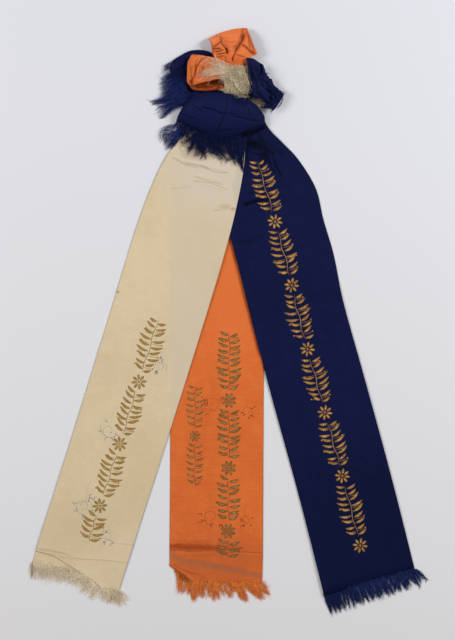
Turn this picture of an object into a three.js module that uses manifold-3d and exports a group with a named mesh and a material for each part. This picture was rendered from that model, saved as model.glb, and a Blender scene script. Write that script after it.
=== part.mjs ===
// An honorary sash laid out on a table: three wide silk ribbons, cream, orange and navy, fan out from a
// rosette of loops and frayed ends. Each ribbon ends in a fringe of its own unravelled threads.
//
// Millimetres, +Z up. The sash lies on z = 0, its tails point to -Y and its rosette to +Y.
// Every ribbon is a strip of cloth lofted through a short table of sections. A section is a line across
// the ribbon, from its left edge to its right one as seen along the ribbon, with a height at each edge and
// one in the middle.
import * as THREE from 'three';
import { mergeVertices } from 'three/addons/utils/BufferGeometryUtils.js';
import Module from 'manifold-3d';

const wasm = await Module();
wasm.setup();

// Driving sizes
const CLOTH = 1.2; // one layer of ribbon
const GAP = 0.3; // space kept between neighbours
const LAYER = CLOTH + GAP; // how far one layer lifts the next
const FRINGE_HEAD = 5; // woven band that the fringe threads hang from
const FRINGE_LENGTH = 26; // threads beyond a ribbon's end
const LOCK_ROOT = 3; // how far into the head a lock of threads starts
const LOCK_HEIGHT = 1.8; // thickness of a lock at its root, half of that at its tip
const LOCK_TAPER = 0.55; // share of a lock's width that is gone at its tip
const CENTRE = { x: 3.4, y: -0.4 }; // middle of the laid-out sash, moved to the origin

const COLOURS = {
  cream: 0xcfc0a0,
  orange: 0xd8672f,
  navy: 0x15183c,
  thread: 0xb3a585,
};

// Sections of the three tails, from the knot to the free end. Heights are of the underside.
const SECTION = ['leftX', 'leftY', 'leftZ', 'midZ', 'rightX', 'rightY', 'rightZ', 'bow'];
const ORANGE_TAIL = [
  [-20, 343, 0, 0, 31, 343, 0],
  [-49, 305, 0, 0, 41, 305, 0],
  [-78, 241, 0, 0, 58, 241, 0],
  [-89, 153, 0, 0, 60, 153, 0],
  [-89, -15, 0, 0, 60, -15, 0],
  [-90, -207, 0, 0, 59, -207, 0],
  [-91, -383, 0, 0, 58, -383, 0],
  [-91, -420, 0, 0, 57, -420, 0],
];
const NAVY_TAIL = [
  [-1, 334, LAYER, LAYER, 54, 334, LAYER],
  [4, 303, LAYER, LAYER, 68, 307, LAYER],
  [-4, 260, LAYER, LAYER, 92, 282, 1],
  [-9, 231, LAYER, LAYER, 113, 260, 0],
  [-9, 182, LAYER, LAYER, 143, 211, 0],
  [6, 133, 1.7, 1.6, 155, 162, 0],
  [24, 65, 5, 1.4, 171, 108, 0],
  [40, -4, 6, 0.6, 186, 34, 1.5],
  [70, -118, 5, 0, 217, -78, 2.5],
  [116, -282, 4, 0, 262, -243, 2],
  [156, -440, 3, 0, 302, -401, 0],
];
const CREAM_TAIL = [
  [-23, 340, 2 * LAYER, 2 * LAYER, 31, 330, 2 * LAYER],
  [-49, 314, 2 * LAYER, 2 * LAYER, 33, 298, 2 * LAYER],
  [-90, 271, 2, 2 * LAYER, 30, 252, 2 * LAYER],
  [-116, 223, 0.8, 2.7, 20, 188, 3.4],
  [-142, 157, 0, 2.3, 1, 114, 3.2],
  [-185, 17, 0, 0.9, -44, -29, 4],
  [-254, -207, 0.8, 0, -115, -254, 4],
  [-298, -345, 0.8, 0.8, -160, -394, 2],
  [-318, -407, 1, 1, -172, -433, 0.4],
];
// The cream ribbon has a slanting tuck near its end. Its fold runs along these points. Left of the fold is the
// lower layer of the tuck, a corner of ribbon on the table.
const TUCK_FOLD = [
  [-330, -365],
  [-305, -369],
  [-275, -376],
  [-206, -422],
  [-202, -428],
  [-202, -480],
];
const CREAM_CORNER = [
  [-300, -352, 0, 0, -190, -392, 0],
  [-311, -388, 0, 0, -196, -409, 0],
];
// The orange ribbon's left corner is folded under along this line.
const ORANGE_CORNER = [
  [-100, -388],
  [-55, -420],
  [-55, -425],
  [-100, -425],
];

// Sections of the rosette. Heights are of the middle of the cloth.
const TOP_LOOP = [
  [-7, 356, 9, 9, 18, 356, 9],
  [-15, 391, 7, 7, 28, 391, 7],
  [-22, 425, 5.2, 5.2, 39, 422, 5.2],
  [-25, 444, 5, 4.5, 42, 441, 5],
  [-30, 449, 9, 9, 33, 466, 9, 6],
  [-28, 447, 14, 17, 38, 454, 13, 5],
  [-22, 438, 17, 21, 47, 427, 14],
  [-20, 425, 18, 22, 38, 419, 16],
  [-14, 407, 19, 20, 26, 407, 18.5],
  [-7, 369, 19.5, 19.5, 18, 369, 19.5],
  [-6, 354, 19, 19, 17, 354, 19],
];
const SIDE_LOOP = [
  [-3, 406, 22.5, 23, -3, 386, 22.5],
  [-20, 421, 21.5, 25, -20, 381, 21],
  [-39, 425, 20, 25, -39, 378, 20],
  [-55, 425, 17, 21, -57, 375, 17],
  [-62, 417, 13, 14, -63, 378, 13],
  [-55, 414, 8.6, 8.6, -54, 369, 9.2],
  [-38, 414, 8.6, 8.6, -36, 366, 10],
  [-20, 407, 8.8, 8.8, -8, 368, 11],
];
const RIGHT_LOOP = [
  [18, 332, 7, 7, 18, 358, 7],
  [41, 342, 5, 5, 38, 385, 5],
  [63, 337, 3.8, 4, 51, 401, 4],
  [80, 343, 5, 5.5, 58, 407, 6, 1],
  [91, 361, 10, 11, 55, 407, 10, 3],
  [77, 339, 14, 18, 50, 412, 14, 0],
  [60, 346, 19, 25, 41, 417, 20, 0],
  [40, 364, 22, 27, 31, 418, 23.5],
];
const LEFT_END = [
  [-4, 346, 3.4, 3.4, -4, 376, 3.4],
  [-30, 345, 3.4, 3.4, -24, 427, 3.2],
  [-55, 343, 5, 5, -55, 432, 3.6],
  [-75, 341, 7, 12, -76, 422, 4],
  [-88, 338, 6, 9, -92, 412, 4],
];
const WRAP = [
  [62, 310, 5.3, 8, 61, 326, 8],
  [46, 300, 5.3, 18, 49, 342, 15],
  [30, 292, 5.3, 28, 30, 354, 24],
  [-1, 291, 5.3, 32, 1, 361, 26],
  [-34, 298, 5.3, 31, -34, 363, 24],
  [-58, 308, 5.3, 24, -58, 353, 19],
  [-73, 315, 5.3, 15, -71, 338, 13],
  [-80, 318, 5.3, 9, -78, 326, 9],
];

// Pleats, as grooves or ridges along a strip: where each starts and ends along it and across it, how far it
// stands out and how wide it is across.
const PLEAT = ['from', 'to', 'fromAcross', 'toAcross', 'depth', 'width'];
const NAVY_TAIL_PLEATS = [[0.14, 0.36, 0.12, 0.58, 2.4, 0.14]];
const TOP_LOOP_PLEATS = [
  [0.42, 0.9, -0.52, -0.1, -5, 0.2],
  [0.42, 0.9, 0.8, 0.1, -5, 0.2],
];
const SIDE_LOOP_PLEATS = [
  [0.05, 0.5, -0.3, -0.5, -2.5, 0.22],
  [0.05, 0.5, 0.25, 0.35, -2, 0.22],
];
const RIGHT_LOOP_PLEATS = [
  [0.5, 0.98, -0.35, -0.1, -3, 0.25],
  [0.5, 0.98, 0.4, 0.5, -2.5, 0.2],
];
const LEFT_END_PLEATS = [
  [0.2, 1, 0.7, 0.45, 2.2, 0.22],
  [0.3, 1, -0.4, -0.2, -2.5, 0.25],
];
const WRAP_PLEATS = [
  [0.0, 0.7, 0.1, 0.35, -2.5, 0.16],
  [0.0, 0.55, -0.5, -0.6, -2, 0.16],
];

// The lump of gathered and stitched ribbon that everything comes out of, hidden under the wrap.
const KNOT = { x: 4, y: 343, z: 15, radiusX: 30, radiusY: 19, radiusZ: 12.5, seat: 4.5 };

// Small helpers for vectors, tables and solids.
const vector = (x, y, z = 0) => new THREE.Vector3(x, y, z);
const mix = THREE.MathUtils.lerp;
const named = (columns, rows) =>
  rows.map((row) => Object.fromEntries(columns.map((column, i) => [column, row[i] ?? 0])));

function solidOf(geometry) {
  const bare = geometry.clone();
  bare.deleteAttribute('normal');
  bare.deleteAttribute('uv');
  const merged = mergeVertices(bare, 1e-4);
  return new wasm.Manifold(
    new wasm.Mesh({
      numProp: 3,
      vertProperties: new Float32Array(merged.attributes.position.array),
      triVerts: new Uint32Array(merged.index.array),
    }),
  );
}

function geometryOf(solid) {
  const mesh = solid.getMesh();
  const geometry = new THREE.BufferGeometry();
  geometry.setAttribute('position', new THREE.BufferAttribute(mesh.vertProperties, 3));
  geometry.setIndex(new THREE.BufferAttribute(mesh.triVerts, 1));
  geometry.computeVertexNormals();
  return geometry;
}

const fused = (solids) => solids.reduce((whole, solid) => whole.add(solid));
const largest = (solid) =>
  solid.decompose().reduce((best, body) => (body.volume() > best.volume() ? body : best));

// The surface of a strip of cloth: three guide curves, with a rounded section across them and its pleats.
function stripSurface(rows, { pleats = [], fullness = 2 } = {}) {
  const sections = named(SECTION, rows);
  const folds = named(PLEAT, pleats);
  const left = sections.map((s) => vector(s.leftX, s.leftY, s.leftZ));
  const right = sections.map((s) => vector(s.rightX, s.rightY, s.rightZ));
  const middle = sections.map((s, i) => {
    const across = right[i].clone().sub(left[i]).setZ(0).normalize();
    const centre = left[i].clone().add(right[i]).multiplyScalar(0.5);
    return vector(centre.x - across.y * s.bow, centre.y + across.x * s.bow, s.midZ);
  });
  const [leftEdge, midLine, rightEdge] = [left, middle, right].map(
    (points) => new THREE.CatmullRomCurve3(points, false, 'centripetal'),
  );

  const pleatAt = (along, across) =>
    folds.reduce((sum, fold) => {
      const share = (along - fold.from) / (fold.to - fold.from);
      if (share < 0 || share > 1) return sum;
      const line = mix(fold.fromAcross, fold.toAcross, share);
      const fade = Math.sin(Math.PI * share) ** 0.5;
      return sum + fold.depth * fade * Math.exp(-(((across - line) / fold.width) ** 2));
    }, 0);

  const bare = (along, across) => {
    const a = leftEdge.getPoint(along);
    const b = rightEdge.getPoint(along);
    const chord = a.clone().add(b).multiplyScalar(0.5);
    const crown = midLine.getPoint(along).sub(chord);
    const shape = 1 - Math.min(1, Math.abs(across)) ** fullness;
    return chord.add(b.sub(a).multiplyScalar(across / 2)).add(crown.multiplyScalar(shape));
  };
  return { leftEdge, rightEdge, bare, pleatAt };
}

// Puts one grid of points over another and closes the sides, as one body.
function slab(under, over) {
  const [rowCount, columnCount] = [under.length, under[0].length];
  const positions = [...under.flat(), ...over.flat()].flatMap((p) => [p.x, p.y, p.z]);
  const at = (layer, i, j) => layer * rowCount * columnCount + i * columnCount + j;
  const index = [];
  const quad = (a, b, c, d) => index.push(a, b, c, a, c, d);
  for (let i = 0; i < rowCount - 1; i += 1) {
    for (let j = 0; j < columnCount - 1; j += 1) {
      quad(at(1, i, j), at(1, i + 1, j), at(1, i + 1, j + 1), at(1, i, j + 1));
      quad(at(0, i, j), at(0, i, j + 1), at(0, i + 1, j + 1), at(0, i + 1, j));
    }
    const last = columnCount - 1;
    quad(at(0, i, 0), at(0, i + 1, 0), at(1, i + 1, 0), at(1, i, 0));
    quad(at(0, i + 1, last), at(0, i, last), at(1, i, last), at(1, i + 1, last));
  }
  for (let j = 0; j < columnCount - 1; j += 1) {
    const last = rowCount - 1;
    quad(at(0, 0, j + 1), at(0, 0, j), at(1, 0, j), at(1, 0, j + 1));
    quad(at(0, last, j), at(0, last, j + 1), at(1, last, j + 1), at(1, last, j));
  }
  const geometry = new THREE.BufferGeometry();
  geometry.setAttribute('position', new THREE.Float32BufferAttribute(positions, 3));
  geometry.setIndex(index);
  const solid = solidOf(geometry);
  if (solid.volume() > 0) return solid;
  geometry.setIndex(index.map((_, k) => index[k - (k % 3) + [0, 2, 1][k % 3]]));
  return solidOf(geometry);
}

// A strip that lies on what is below it: its underside follows the table and stays on or over the table top.
function lyingStrip(rows, alongSteps, acrossSteps, options = {}) {
  const { bare, pleatAt } = stripSurface(rows, options);
  const under = [];
  for (let i = 0; i <= alongSteps; i += 1) {
    const line = [];
    for (let j = 0; j <= acrossSteps; j += 1) {
      const [along, across] = [i / alongSteps, (2 * j) / acrossSteps - 1];
      const point = bare(along, across);
      line.push(point.setZ(Math.max(0, point.z) + pleatAt(along, across)));
    }
    under.push(line);
  }
  return slab(under, under.map((line) => line.map((p) => p.clone().setZ(p.z + CLOTH))));
}

// A strip that stands up or loops back over itself: its thickness is laid off both sides of the surface. One
// that is grown is the room to keep clear around it.
function loopStrip(rows, alongSteps, acrossSteps, options = {}) {
  const { leftEdge, rightEdge, bare, pleatAt } = stripSurface(rows, options);
  const grown = options.grown ?? 0;
  const half = CLOTH / 2 + grown;
  const step = 1e-3;
  const normalTo = (surface, along, across) => {
    const [a0, a1] = [Math.max(0, along - step), Math.min(1, along + step)];
    const [c0, c1] = [Math.max(-1, across - step), Math.min(1, across + step)];
    const forward = surface(a1, across).sub(surface(a0, across));
    const sideways = surface(along, c1).sub(surface(along, c0));
    return sideways.cross(forward).normalize();
  };
  const pleated = (along, across) => {
    const outward = normalTo(bare, along, across).multiplyScalar(pleatAt(along, across));
    return bare(along, across).add(outward);
  };
  const [under, over] = [[], []];
  for (let i = 0; i <= alongSteps; i += 1) {
    const along = i / alongSteps;
    const points = [];
    const normals = [];
    for (let j = 0; j <= acrossSteps; j += 1) {
      const across = (2 * j) / acrossSteps - 1;
      points.push(pleated(along, across));
      normals.push(normalTo(pleated, along, across).multiplyScalar(half));
    }
    if (grown > 0) {
      const beyond = rightEdge.getPoint(along).sub(leftEdge.getPoint(along)).setLength(grown);
      points.unshift(points[0].clone().sub(beyond));
      normals.unshift(normals[0]);
      points.push(points.at(-1).clone().add(beyond));
      normals.push(normals.at(-1));
    }
    under.push(points.map((p, j) => p.clone().sub(normals[j])));
    over.push(points.map((p, j) => p.clone().add(normals[j])));
  }
  if (grown > 0) {
    [under, over].forEach((grid) => {
      const onward = (p, inner) => p.clone().add(p.clone().sub(inner).setLength(grown));
      const past = (line, inner) => line.map((p, j) => onward(p, inner[j]));
      const [first, last] = [past(grid[0], grid[1]), past(grid.at(-1), grid.at(-2))];
      grid.unshift(first);
      grid.push(last);
    });
  }
  return slab(under, over);
}

// One lock of threads: a flattened, tapering strand with a flat underside.
function lock({ root, direction, length, width, rootZ, tipZ, bend }) {
  const segments = 3;
  const sideways = vector(-direction.y, direction.x);
  const [under, over] = [[], []];
  for (let k = 0; k <= segments; k += 1) {
    const share = k / segments;
    const centre = root.clone().addScaledVector(direction, length * share);
    centre.addScaledVector(sideways, bend * share * share);
    const half = (width / 2) * (1 - LOCK_TAPER * share);
    const low = mix(rootZ, tipZ, share);
    const high = low + LOCK_HEIGHT * (1 - 0.5 * share);
    under.push([-half, half].map((d) => centre.clone().addScaledVector(sideways, d).setZ(low)));
    over.push([-0.6 * half, 0.6 * half].map((d) => centre.clone().addScaledVector(sideways, d).setZ(high)));
  }
  return slab(under, over);
}

// A column of space over a closed outline on the table, for cutting cloth along a line.
function column(points) {
  const outline = new THREE.Shape(points.map(([x, y]) => new THREE.Vector2(x, y)));
  const depth = 8 * LAYER;
  return solidOf(new THREE.ExtrudeGeometry(outline, { depth, bevelEnabled: false }).translate(0, 0, -LAYER));
}

// A fringe: a woven head just off the ribbon's edge, and locks that hang from it. edge gives a point on the
// ribbon's edge and the direction that the threads take there, each for a share of the way along the edge.
function fringe({ edge, heading, count, length, tipZ = 0, bend = 2, headSteps = 1 }) {
  const directionAt = (share) => {
    const angle = THREE.MathUtils.degToRad(heading(share));
    return vector(Math.cos(angle), Math.sin(angle));
  };
  const under = [];
  for (let k = 0; k <= headSteps; k += 1) {
    const share = k / headSteps;
    const [start, out] = [edge(share), directionAt(share)];
    under.push([-FRINGE_HEAD / 2, FRINGE_HEAD].map((d) => start.clone().addScaledVector(out, d)));
  }
  const head = slab(under, under.map((line) => line.map((p) => p.clone().setZ(p.z + CLOTH))));
  const spacing = edge(0).distanceTo(edge(1)) / count;
  const locks = [];
  for (let k = 0; k < count; k += 1) {
    const share = (k + 0.5) / count;
    const start = edge(share);
    const direction = directionAt(share);
    locks.push(
      lock({
        root: start.clone().addScaledVector(direction, LOCK_ROOT).setZ(0),
        direction,
        length: length(share) * (1 + 0.12 * Math.sin(5 * k)),
        width: spacing * 1.15,
        rootZ: start.z,
        tipZ: Math.min(start.z, tipZ),
        bend: bend * Math.sin(2.3 * k),
      }),
    );
  }
  return fused([head, ...locks]);
}

// A tail's fringe runs along the straight line between two points of its end, and stays clear of that line.
const between = (a, b) => (share) => a.clone().lerp(b, share);

function endFringe({ from, to, ...rest }) {
  const along = to.clone().sub(from).normalize();
  const inward = vector(-along.y, along.x);
  const reach = 2 * FRINGE_LENGTH;
  const corner = (point, sideways, back) => {
    const p = point.clone().addScaledVector(along, sideways).addScaledVector(inward, back);
    return [p.x, p.y];
  };
  const ribbon = column([
    corner(from, -reach, -GAP),
    corner(to, reach, -GAP),
    corner(to, reach, reach),
    corner(from, -reach, reach),
  ]);
  return fringe({ edge: between(from, to), ...rest }).subtract(ribbon);
}

// The tails. The orange one loses its folded corner. The cream one is cut along its tuck, over its lower layer.
const orangeTail = () => lyingStrip(ORANGE_TAIL, 14, 4).subtract(column(ORANGE_CORNER));
const navyTail = () => lyingStrip(NAVY_TAIL, 26, 10, { pleats: NAVY_TAIL_PLEATS });
const leftOfTuck = column([...TUCK_FOLD, [-340, -480]]);
const rightOfTuck = column([...TUCK_FOLD.map(([x, y]) => [x - GAP, y - GAP]), [-100, -480], [-100, -300]]);
const creamTail = () => lyingStrip(CREAM_TAIL, 22, 6).subtract(leftOfTuck).add(lyingStrip(CREAM_CORNER, 1, 2));

// The rosette's pieces. One that is grown by the gap is the room that its neighbours keep clear.
const knotShape = (grown = 0) => {
  const ball = new THREE.SphereGeometry(1, 14, 10).scale(
    KNOT.radiusX + grown,
    KNOT.radiusY + grown,
    KNOT.radiusZ + grown,
  );
  return solidOf(ball.translate(KNOT.x, KNOT.y, KNOT.z));
};

const knot = () => {
  const room = new THREE.BoxGeometry(4 * KNOT.radiusX, 4 * KNOT.radiusX, 4 * KNOT.radiusZ);
  const below = solidOf(room.translate(KNOT.x, KNOT.y, KNOT.seat - 2 * KNOT.radiusZ));
  return knotShape().subtract(below);
};

const clearOf = (solid, ...others) => largest(others.reduce((rest, other) => rest.subtract(other), solid));

const topLoop = (grown = 0) => loopStrip(TOP_LOOP, 24, 10, { pleats: TOP_LOOP_PLEATS, grown });
const sideLoop = (grown = 0) => loopStrip(SIDE_LOOP, 18, 8, { pleats: SIDE_LOOP_PLEATS, grown, fullness: 2.4 });
const rightLoop = (grown = 0) => loopStrip(RIGHT_LOOP, 20, 8, { pleats: RIGHT_LOOP_PLEATS, grown, fullness: 2.4 });
const leftEnd = (grown = 0) => loopStrip(LEFT_END, 12, 10, { pleats: LEFT_END_PLEATS, grown });
const wrap = (grown = 0) => loopStrip(WRAP, 18, 10, { pleats: WRAP_PLEATS, grown, fullness: 2.6 });

// A tuft of unravelled threads: locks that fan out of one root.
const TUFT_LOCK = ['tipX', 'tipY', 'rootZ', 'tipZ', 'width'];
const PLUME = [
  [-34, 388, 28, 27.5, 12],
  [-32, 400, 28, 28, 12],
  [-26, 411, 28, 28, 12],
  [-18, 420, 28, 27, 12],
  [-6, 414, 28, 26, 12],
  [6, 413, 28, 25, 12],
  [18, 412, 28, 25, 12],
  [27, 411, 28, 26, 12],
  [-16, 370, 28, 27, 12],
];
const PLUME_ROOT = { x: 16, y: 383, z: 26, radiusX: 24, radiusY: 24, radiusZ: 5.5 };
const TUFT = [
  [60, 345, 8.5, 7, 6],
  [64, 341, 8.5, 7, 6],
  [58, 335, 8.5, 7, 6],
];
const TUFT_ROOT = { x: 38, y: 345, z: 9, radiusX: 8, radiusY: 4, radiusZ: 2 };

function tuft(root, rows) {
  const ball = new THREE.SphereGeometry(1, 10, 6).scale(root.radiusX, root.radiusY, root.radiusZ);
  const head = solidOf(ball.translate(root.x, root.y, root.z));
  const locks = named(TUFT_LOCK, rows).map((row, k) => {
    const start = vector(mix(root.x, row.tipX, 0.06), mix(root.y, row.tipY, 0.06));
    const reach = vector(row.tipX, row.tipY).sub(start);
    return lock({
      root: start,
      direction: reach.clone().normalize(),
      length: reach.length(),
      width: row.width,
      rootZ: row.rootZ - LOCK_HEIGHT,
      tipZ: row.tipZ,
      bend: 2 * Math.sin(2.3 * k),
    });
  });
  return fused([head, ...locks]);
}

// The fringes, each on the last section of its ribbon.
const lastSection = (rows) => {
  const end = named(SECTION, rows).at(-1);
  return { left: vector(end.leftX, end.leftY), right: vector(end.rightX, end.rightY), end };
};
const navyEnd = lastSection(NAVY_TAIL);
const orangeEnd = lastSection(ORANGE_TAIL);
const creamEnd = lastSection(CREAM_TAIL);
const creamCornerEnd = lastSection(CREAM_CORNER);
const frayedEnd = lastSection(LEFT_END);
const wrapEdge = stripSurface(WRAP).leftEdge;

const navyFringe = () =>
  endFringe({
    from: navyEnd.left,
    to: navyEnd.right,
    heading: (share) => mix(-74, -62, share) + 28 * share ** 8,
    count: 14,
    length: () => FRINGE_LENGTH,
  });
const orangeFringe = () => {
  const [upper, lower] = ORANGE_CORNER.map(([x, y]) => vector(x, y));
  const alongEnd = endFringe({
    from: lower,
    to: orangeEnd.right,
    heading: (share) => mix(-92, -76, share) + 25 * share ** 8,
    count: 11,
    length: () => FRINGE_LENGTH,
  });
  const alongFold = endFringe({
    from: upper.clone().lerp(lower, 0.3),
    to: lower,
    heading: () => -86,
    count: 4,
    length: (share) => mix(42, 32, share),
  });
  return alongEnd.add(alongFold);
};
const creamFringe = () =>
  endFringe({
    from: creamCornerEnd.left,
    to: vector(-238, -401.5),
    heading: (share) => mix(-100, -88, share) + 30 * share ** 4,
    count: 8,
    length: () => FRINGE_LENGTH + 3,
  }).subtract(rightOfTuck);
const creamEndFringe = () =>
  endFringe({
    from: vector(-206, -427),
    to: creamEnd.right,
    heading: (share) => mix(-88, -56, share),
    count: 5,
    length: () => FRINGE_LENGTH,
  });
const leftFringe = () =>
  fringe({
    edge: between(
      frayedEnd.left.clone().setZ(frayedEnd.end.leftZ - CLOTH / 2),
      frayedEnd.right.clone().setZ(frayedEnd.end.rightZ - CLOTH / 2),
    ),
    heading: (share) => mix(222, 150, share),
    count: 10,
    length: (share) => mix(30, 10, share),
    tipZ: 1,
    headSteps: 4,
  });
const wrapFringe = () =>
  fringe({
    edge: (share) => wrapEdge.getPoint(mix(0.97, 0.3, share)).add(vector(0, 0, -CLOTH / 2)),
    heading: (share) => mix(-140, -72, share),
    count: 14,
    length: (share) => mix(30, 40, share),
    tipZ: 5,
    headSteps: 10,
  });

const fabric = (color, roughness = 0.75) => new THREE.MeshStandardMaterial({ color, roughness, metalness: 0 });
const sash = new THREE.Group();
const lay = (name, solid, color) => {
  const mesh = new THREE.Mesh(geometryOf(solid), fabric(color));
  mesh.name = name;
  sash.add(mesh);
};

lay('orange_tail', orangeTail(), COLOURS.orange);
lay('orange_fringe', orangeFringe(), COLOURS.orange);
lay('navy_tail', navyTail(), COLOURS.navy);
lay('navy_fringe', navyFringe(), COLOURS.navy);
lay('cream_tail', creamTail(), COLOURS.cream);
lay('cream_fringe', creamFringe(), COLOURS.thread);
lay('cream_end_fringe', creamEndFringe(), COLOURS.thread);
lay('knot', knot(), COLOURS.navy);
lay('left_navy_end', leftEnd(), COLOURS.navy);
lay('left_navy_fringe', clearOf(leftFringe(), leftEnd(GAP)), COLOURS.navy);
lay('right_navy_loop', clearOf(rightLoop(), knotShape(GAP)), COLOURS.navy);
lay('top_orange_loop', clearOf(topLoop(), knotShape(GAP)), COLOURS.orange);
lay('side_orange_loop', clearOf(sideLoop(), topLoop(GAP)), COLOURS.orange);
lay('navy_wrap', wrap(), COLOURS.navy);
lay('navy_wrap_fringe', clearOf(wrapFringe(), wrap(GAP)), COLOURS.navy);
lay(
  'cream_plume',
  clearOf(tuft(PLUME_ROOT, PLUME), knotShape(GAP), wrap(GAP), topLoop(GAP), sideLoop(GAP), rightLoop(GAP)),
  COLOURS.thread,
);
lay('cream_tuft', clearOf(tuft(TUFT_ROOT, TUFT), knotShape(GAP), wrap(GAP), rightLoop(GAP)), COLOURS.thread);

sash.position.set(-CENTRE.x, -CENTRE.y, 0);

export default sash;
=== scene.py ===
import math
import random

import bmesh
import bpy
import numpy as np
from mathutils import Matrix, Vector


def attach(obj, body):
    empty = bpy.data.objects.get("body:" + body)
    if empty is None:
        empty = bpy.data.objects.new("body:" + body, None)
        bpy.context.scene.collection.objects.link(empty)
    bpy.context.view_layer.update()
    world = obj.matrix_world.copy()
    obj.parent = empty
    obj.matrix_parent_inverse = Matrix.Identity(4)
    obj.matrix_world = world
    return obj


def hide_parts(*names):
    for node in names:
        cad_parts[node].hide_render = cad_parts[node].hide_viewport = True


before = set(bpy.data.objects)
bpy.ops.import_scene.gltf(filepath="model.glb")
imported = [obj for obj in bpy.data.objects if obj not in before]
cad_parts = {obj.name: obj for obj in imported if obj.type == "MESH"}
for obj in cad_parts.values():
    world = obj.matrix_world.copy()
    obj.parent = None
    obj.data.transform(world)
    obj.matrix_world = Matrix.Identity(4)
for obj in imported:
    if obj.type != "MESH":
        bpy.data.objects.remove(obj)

# Sizes. Tables are in millimetres as the sash is laid out. MM and CENTRE take them to the part's frame.
MM = 0.001
CENTRE = np.array([3.4, -0.4, 0.0])
LAYER = 1.5
SILK = 0.45
RIBBON_WIDTH = 149
THREAD = 0.0002

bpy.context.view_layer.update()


def place_of(x, y, z=0.0):
    """A point of the tables, in metres in the part's frame."""
    return tuple((np.array([x, y, z]) - CENTRE) * MM)


def mix(first, second, share):
    return first + (second - first) * share


# Camera, lights and floor
VIEW_HEIGHT = 4.0
VIEW_LENGTH = 1.024
VIEW_CENTRE = (-0.0018, 0.0012)
TABLE_SIZE = 4
TABLE_DROP = 0.0002


def add_camera():
    data = bpy.data.cameras.new("camera")
    data.sensor_fit = "VERTICAL"
    data.sensor_height = 36
    data.lens = data.sensor_height * VIEW_HEIGHT / VIEW_LENGTH
    data.clip_end = 20
    camera = bpy.data.objects.new("camera", data)
    camera.location = (*VIEW_CENTRE, VIEW_HEIGHT)
    bpy.context.scene.collection.objects.link(camera)
    bpy.context.scene.camera = camera


def add_softbox(name, place, aim, size, power, colour):
    data = bpy.data.lights.new(name, "AREA")
    data.shape = "RECTANGLE"
    data.size, data.size_y = size
    data.energy = power
    data.color = colour
    light = bpy.data.objects.new(name, data)
    light.location = place
    light.rotation_euler = (Vector(aim) - Vector(place)).to_track_quat("-Z", "Y").to_euler()
    bpy.context.scene.collection.objects.link(light)


def add_lights():
    add_softbox("left_softbox", (-2.0, 0.6, 1.7), (0, 0.05, 0), (0.7, 1.1), 34, (1.0, 0.985, 0.98))
    add_softbox("right_softbox", (2.0, 0.9, 1.7), (0, 0.05, 0), (0.6, 1.0), 47, (0.98, 0.99, 1.0))
    world = bpy.data.worlds.new("studio")
    world.use_nodes = True
    background = world.node_tree.nodes["Background"]
    background.inputs["Color"].default_value = (0.97, 0.975, 1.0, 1)
    background.inputs["Strength"].default_value = 0.36
    bpy.context.scene.world = world
    bpy.context.scene.view_settings.view_transform = "Standard"


def add_floor():
    mesh = bpy.data.meshes.new("table_top")
    bm = bmesh.new()
    bmesh.ops.create_grid(bm, x_segments=1, y_segments=1, size=TABLE_SIZE)
    bmesh.ops.translate(bm, vec=(0, 0, -TABLE_DROP), verts=bm.verts)
    bm.to_mesh(mesh)
    bm.free()
    table = bpy.data.objects.new("table_top", mesh)
    bpy.context.scene.collection.objects.link(table)
    mesh.materials.append(table_paper())


# Node helpers
def new_material(name):
    material = bpy.data.materials.new(name)
    material.use_nodes = True
    return material, material.node_tree, material.node_tree.nodes["Principled BSDF"]


def set_input(tree, socket, value):
    """Link a socket's source, or write a plain value into the socket."""
    if isinstance(value, bpy.types.NodeSocket):
        tree.links.new(value, socket)
    elif value is not None:
        socket.default_value = value


def calculate(tree, operation, first, second=None):
    node = tree.nodes.new("ShaderNodeMath")
    node.operation = operation
    set_input(tree, node.inputs[0], first)
    set_input(tree, node.inputs[1], second)
    return node.outputs[0]


def blend(tree, factor, first, second):
    """Mix two colours. Each is a socket or three linear values."""
    node = tree.nodes.new("ShaderNodeMix")
    node.data_type = "RGBA"
    set_input(tree, node.inputs["Factor"], factor)
    for socket, colour in (("A", first), ("B", second)):
        set_input(tree, node.inputs[socket], (*colour, 1) if isinstance(colour, tuple) else colour)
    return node.outputs["Result"]


def combine(tree, operation, first, second=None, output="Vector"):
    """One step of vector arithmetic."""
    node = tree.nodes.new("ShaderNodeVectorMath")
    node.operation = operation
    set_input(tree, node.inputs[0], first)
    set_input(tree, node.inputs[1], second)
    return node.outputs[output]


def noise_value(tree, vector, scale, detail=3.0, roughness=0.55):
    node = tree.nodes.new("ShaderNodeTexNoise")
    node.inputs["Scale"].default_value = scale
    node.inputs["Detail"].default_value = detail
    node.inputs["Roughness"].default_value = roughness
    tree.links.new(vector, node.inputs["Vector"])
    return node.outputs["Fac"]


def share_of(tree, value, low, high):
    """How far a value is from low to high, held between 0 and 1."""
    node = tree.nodes.new("ShaderNodeMapRange")
    node.inputs["From Min"].default_value = low
    node.inputs["From Max"].default_value = high
    tree.links.new(value, node.inputs["Value"])
    return node.outputs["Result"]


def split_vector(tree, vector):
    node = tree.nodes.new("ShaderNodeSeparateXYZ")
    tree.links.new(vector, node.inputs[0])
    return node.outputs["X"], node.outputs["Y"]


def attribute(tree, name):
    node = tree.nodes.new("ShaderNodeAttribute")
    node.attribute_name = name
    return node.outputs["Fac"]


def new_group(name, inputs, outputs):
    group = bpy.data.node_groups.new(name, "ShaderNodeTree")
    for socket, kind, value in inputs:
        group.interface.new_socket(socket, in_out="INPUT", socket_type=kind).default_value = value
    for socket in outputs:
        group.interface.new_socket(socket, in_out="OUTPUT", socket_type="NodeSocketFloat")
    return group, group.nodes.new("NodeGroupInput").outputs, group.nodes.new("NodeGroupOutput").inputs


def use_group(tree, group, **values):
    node = tree.nodes.new("ShaderNodeGroup")
    node.node_tree = group
    for name, value in values.items():
        set_input(tree, node.inputs[name], value)
    return node.outputs


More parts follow.
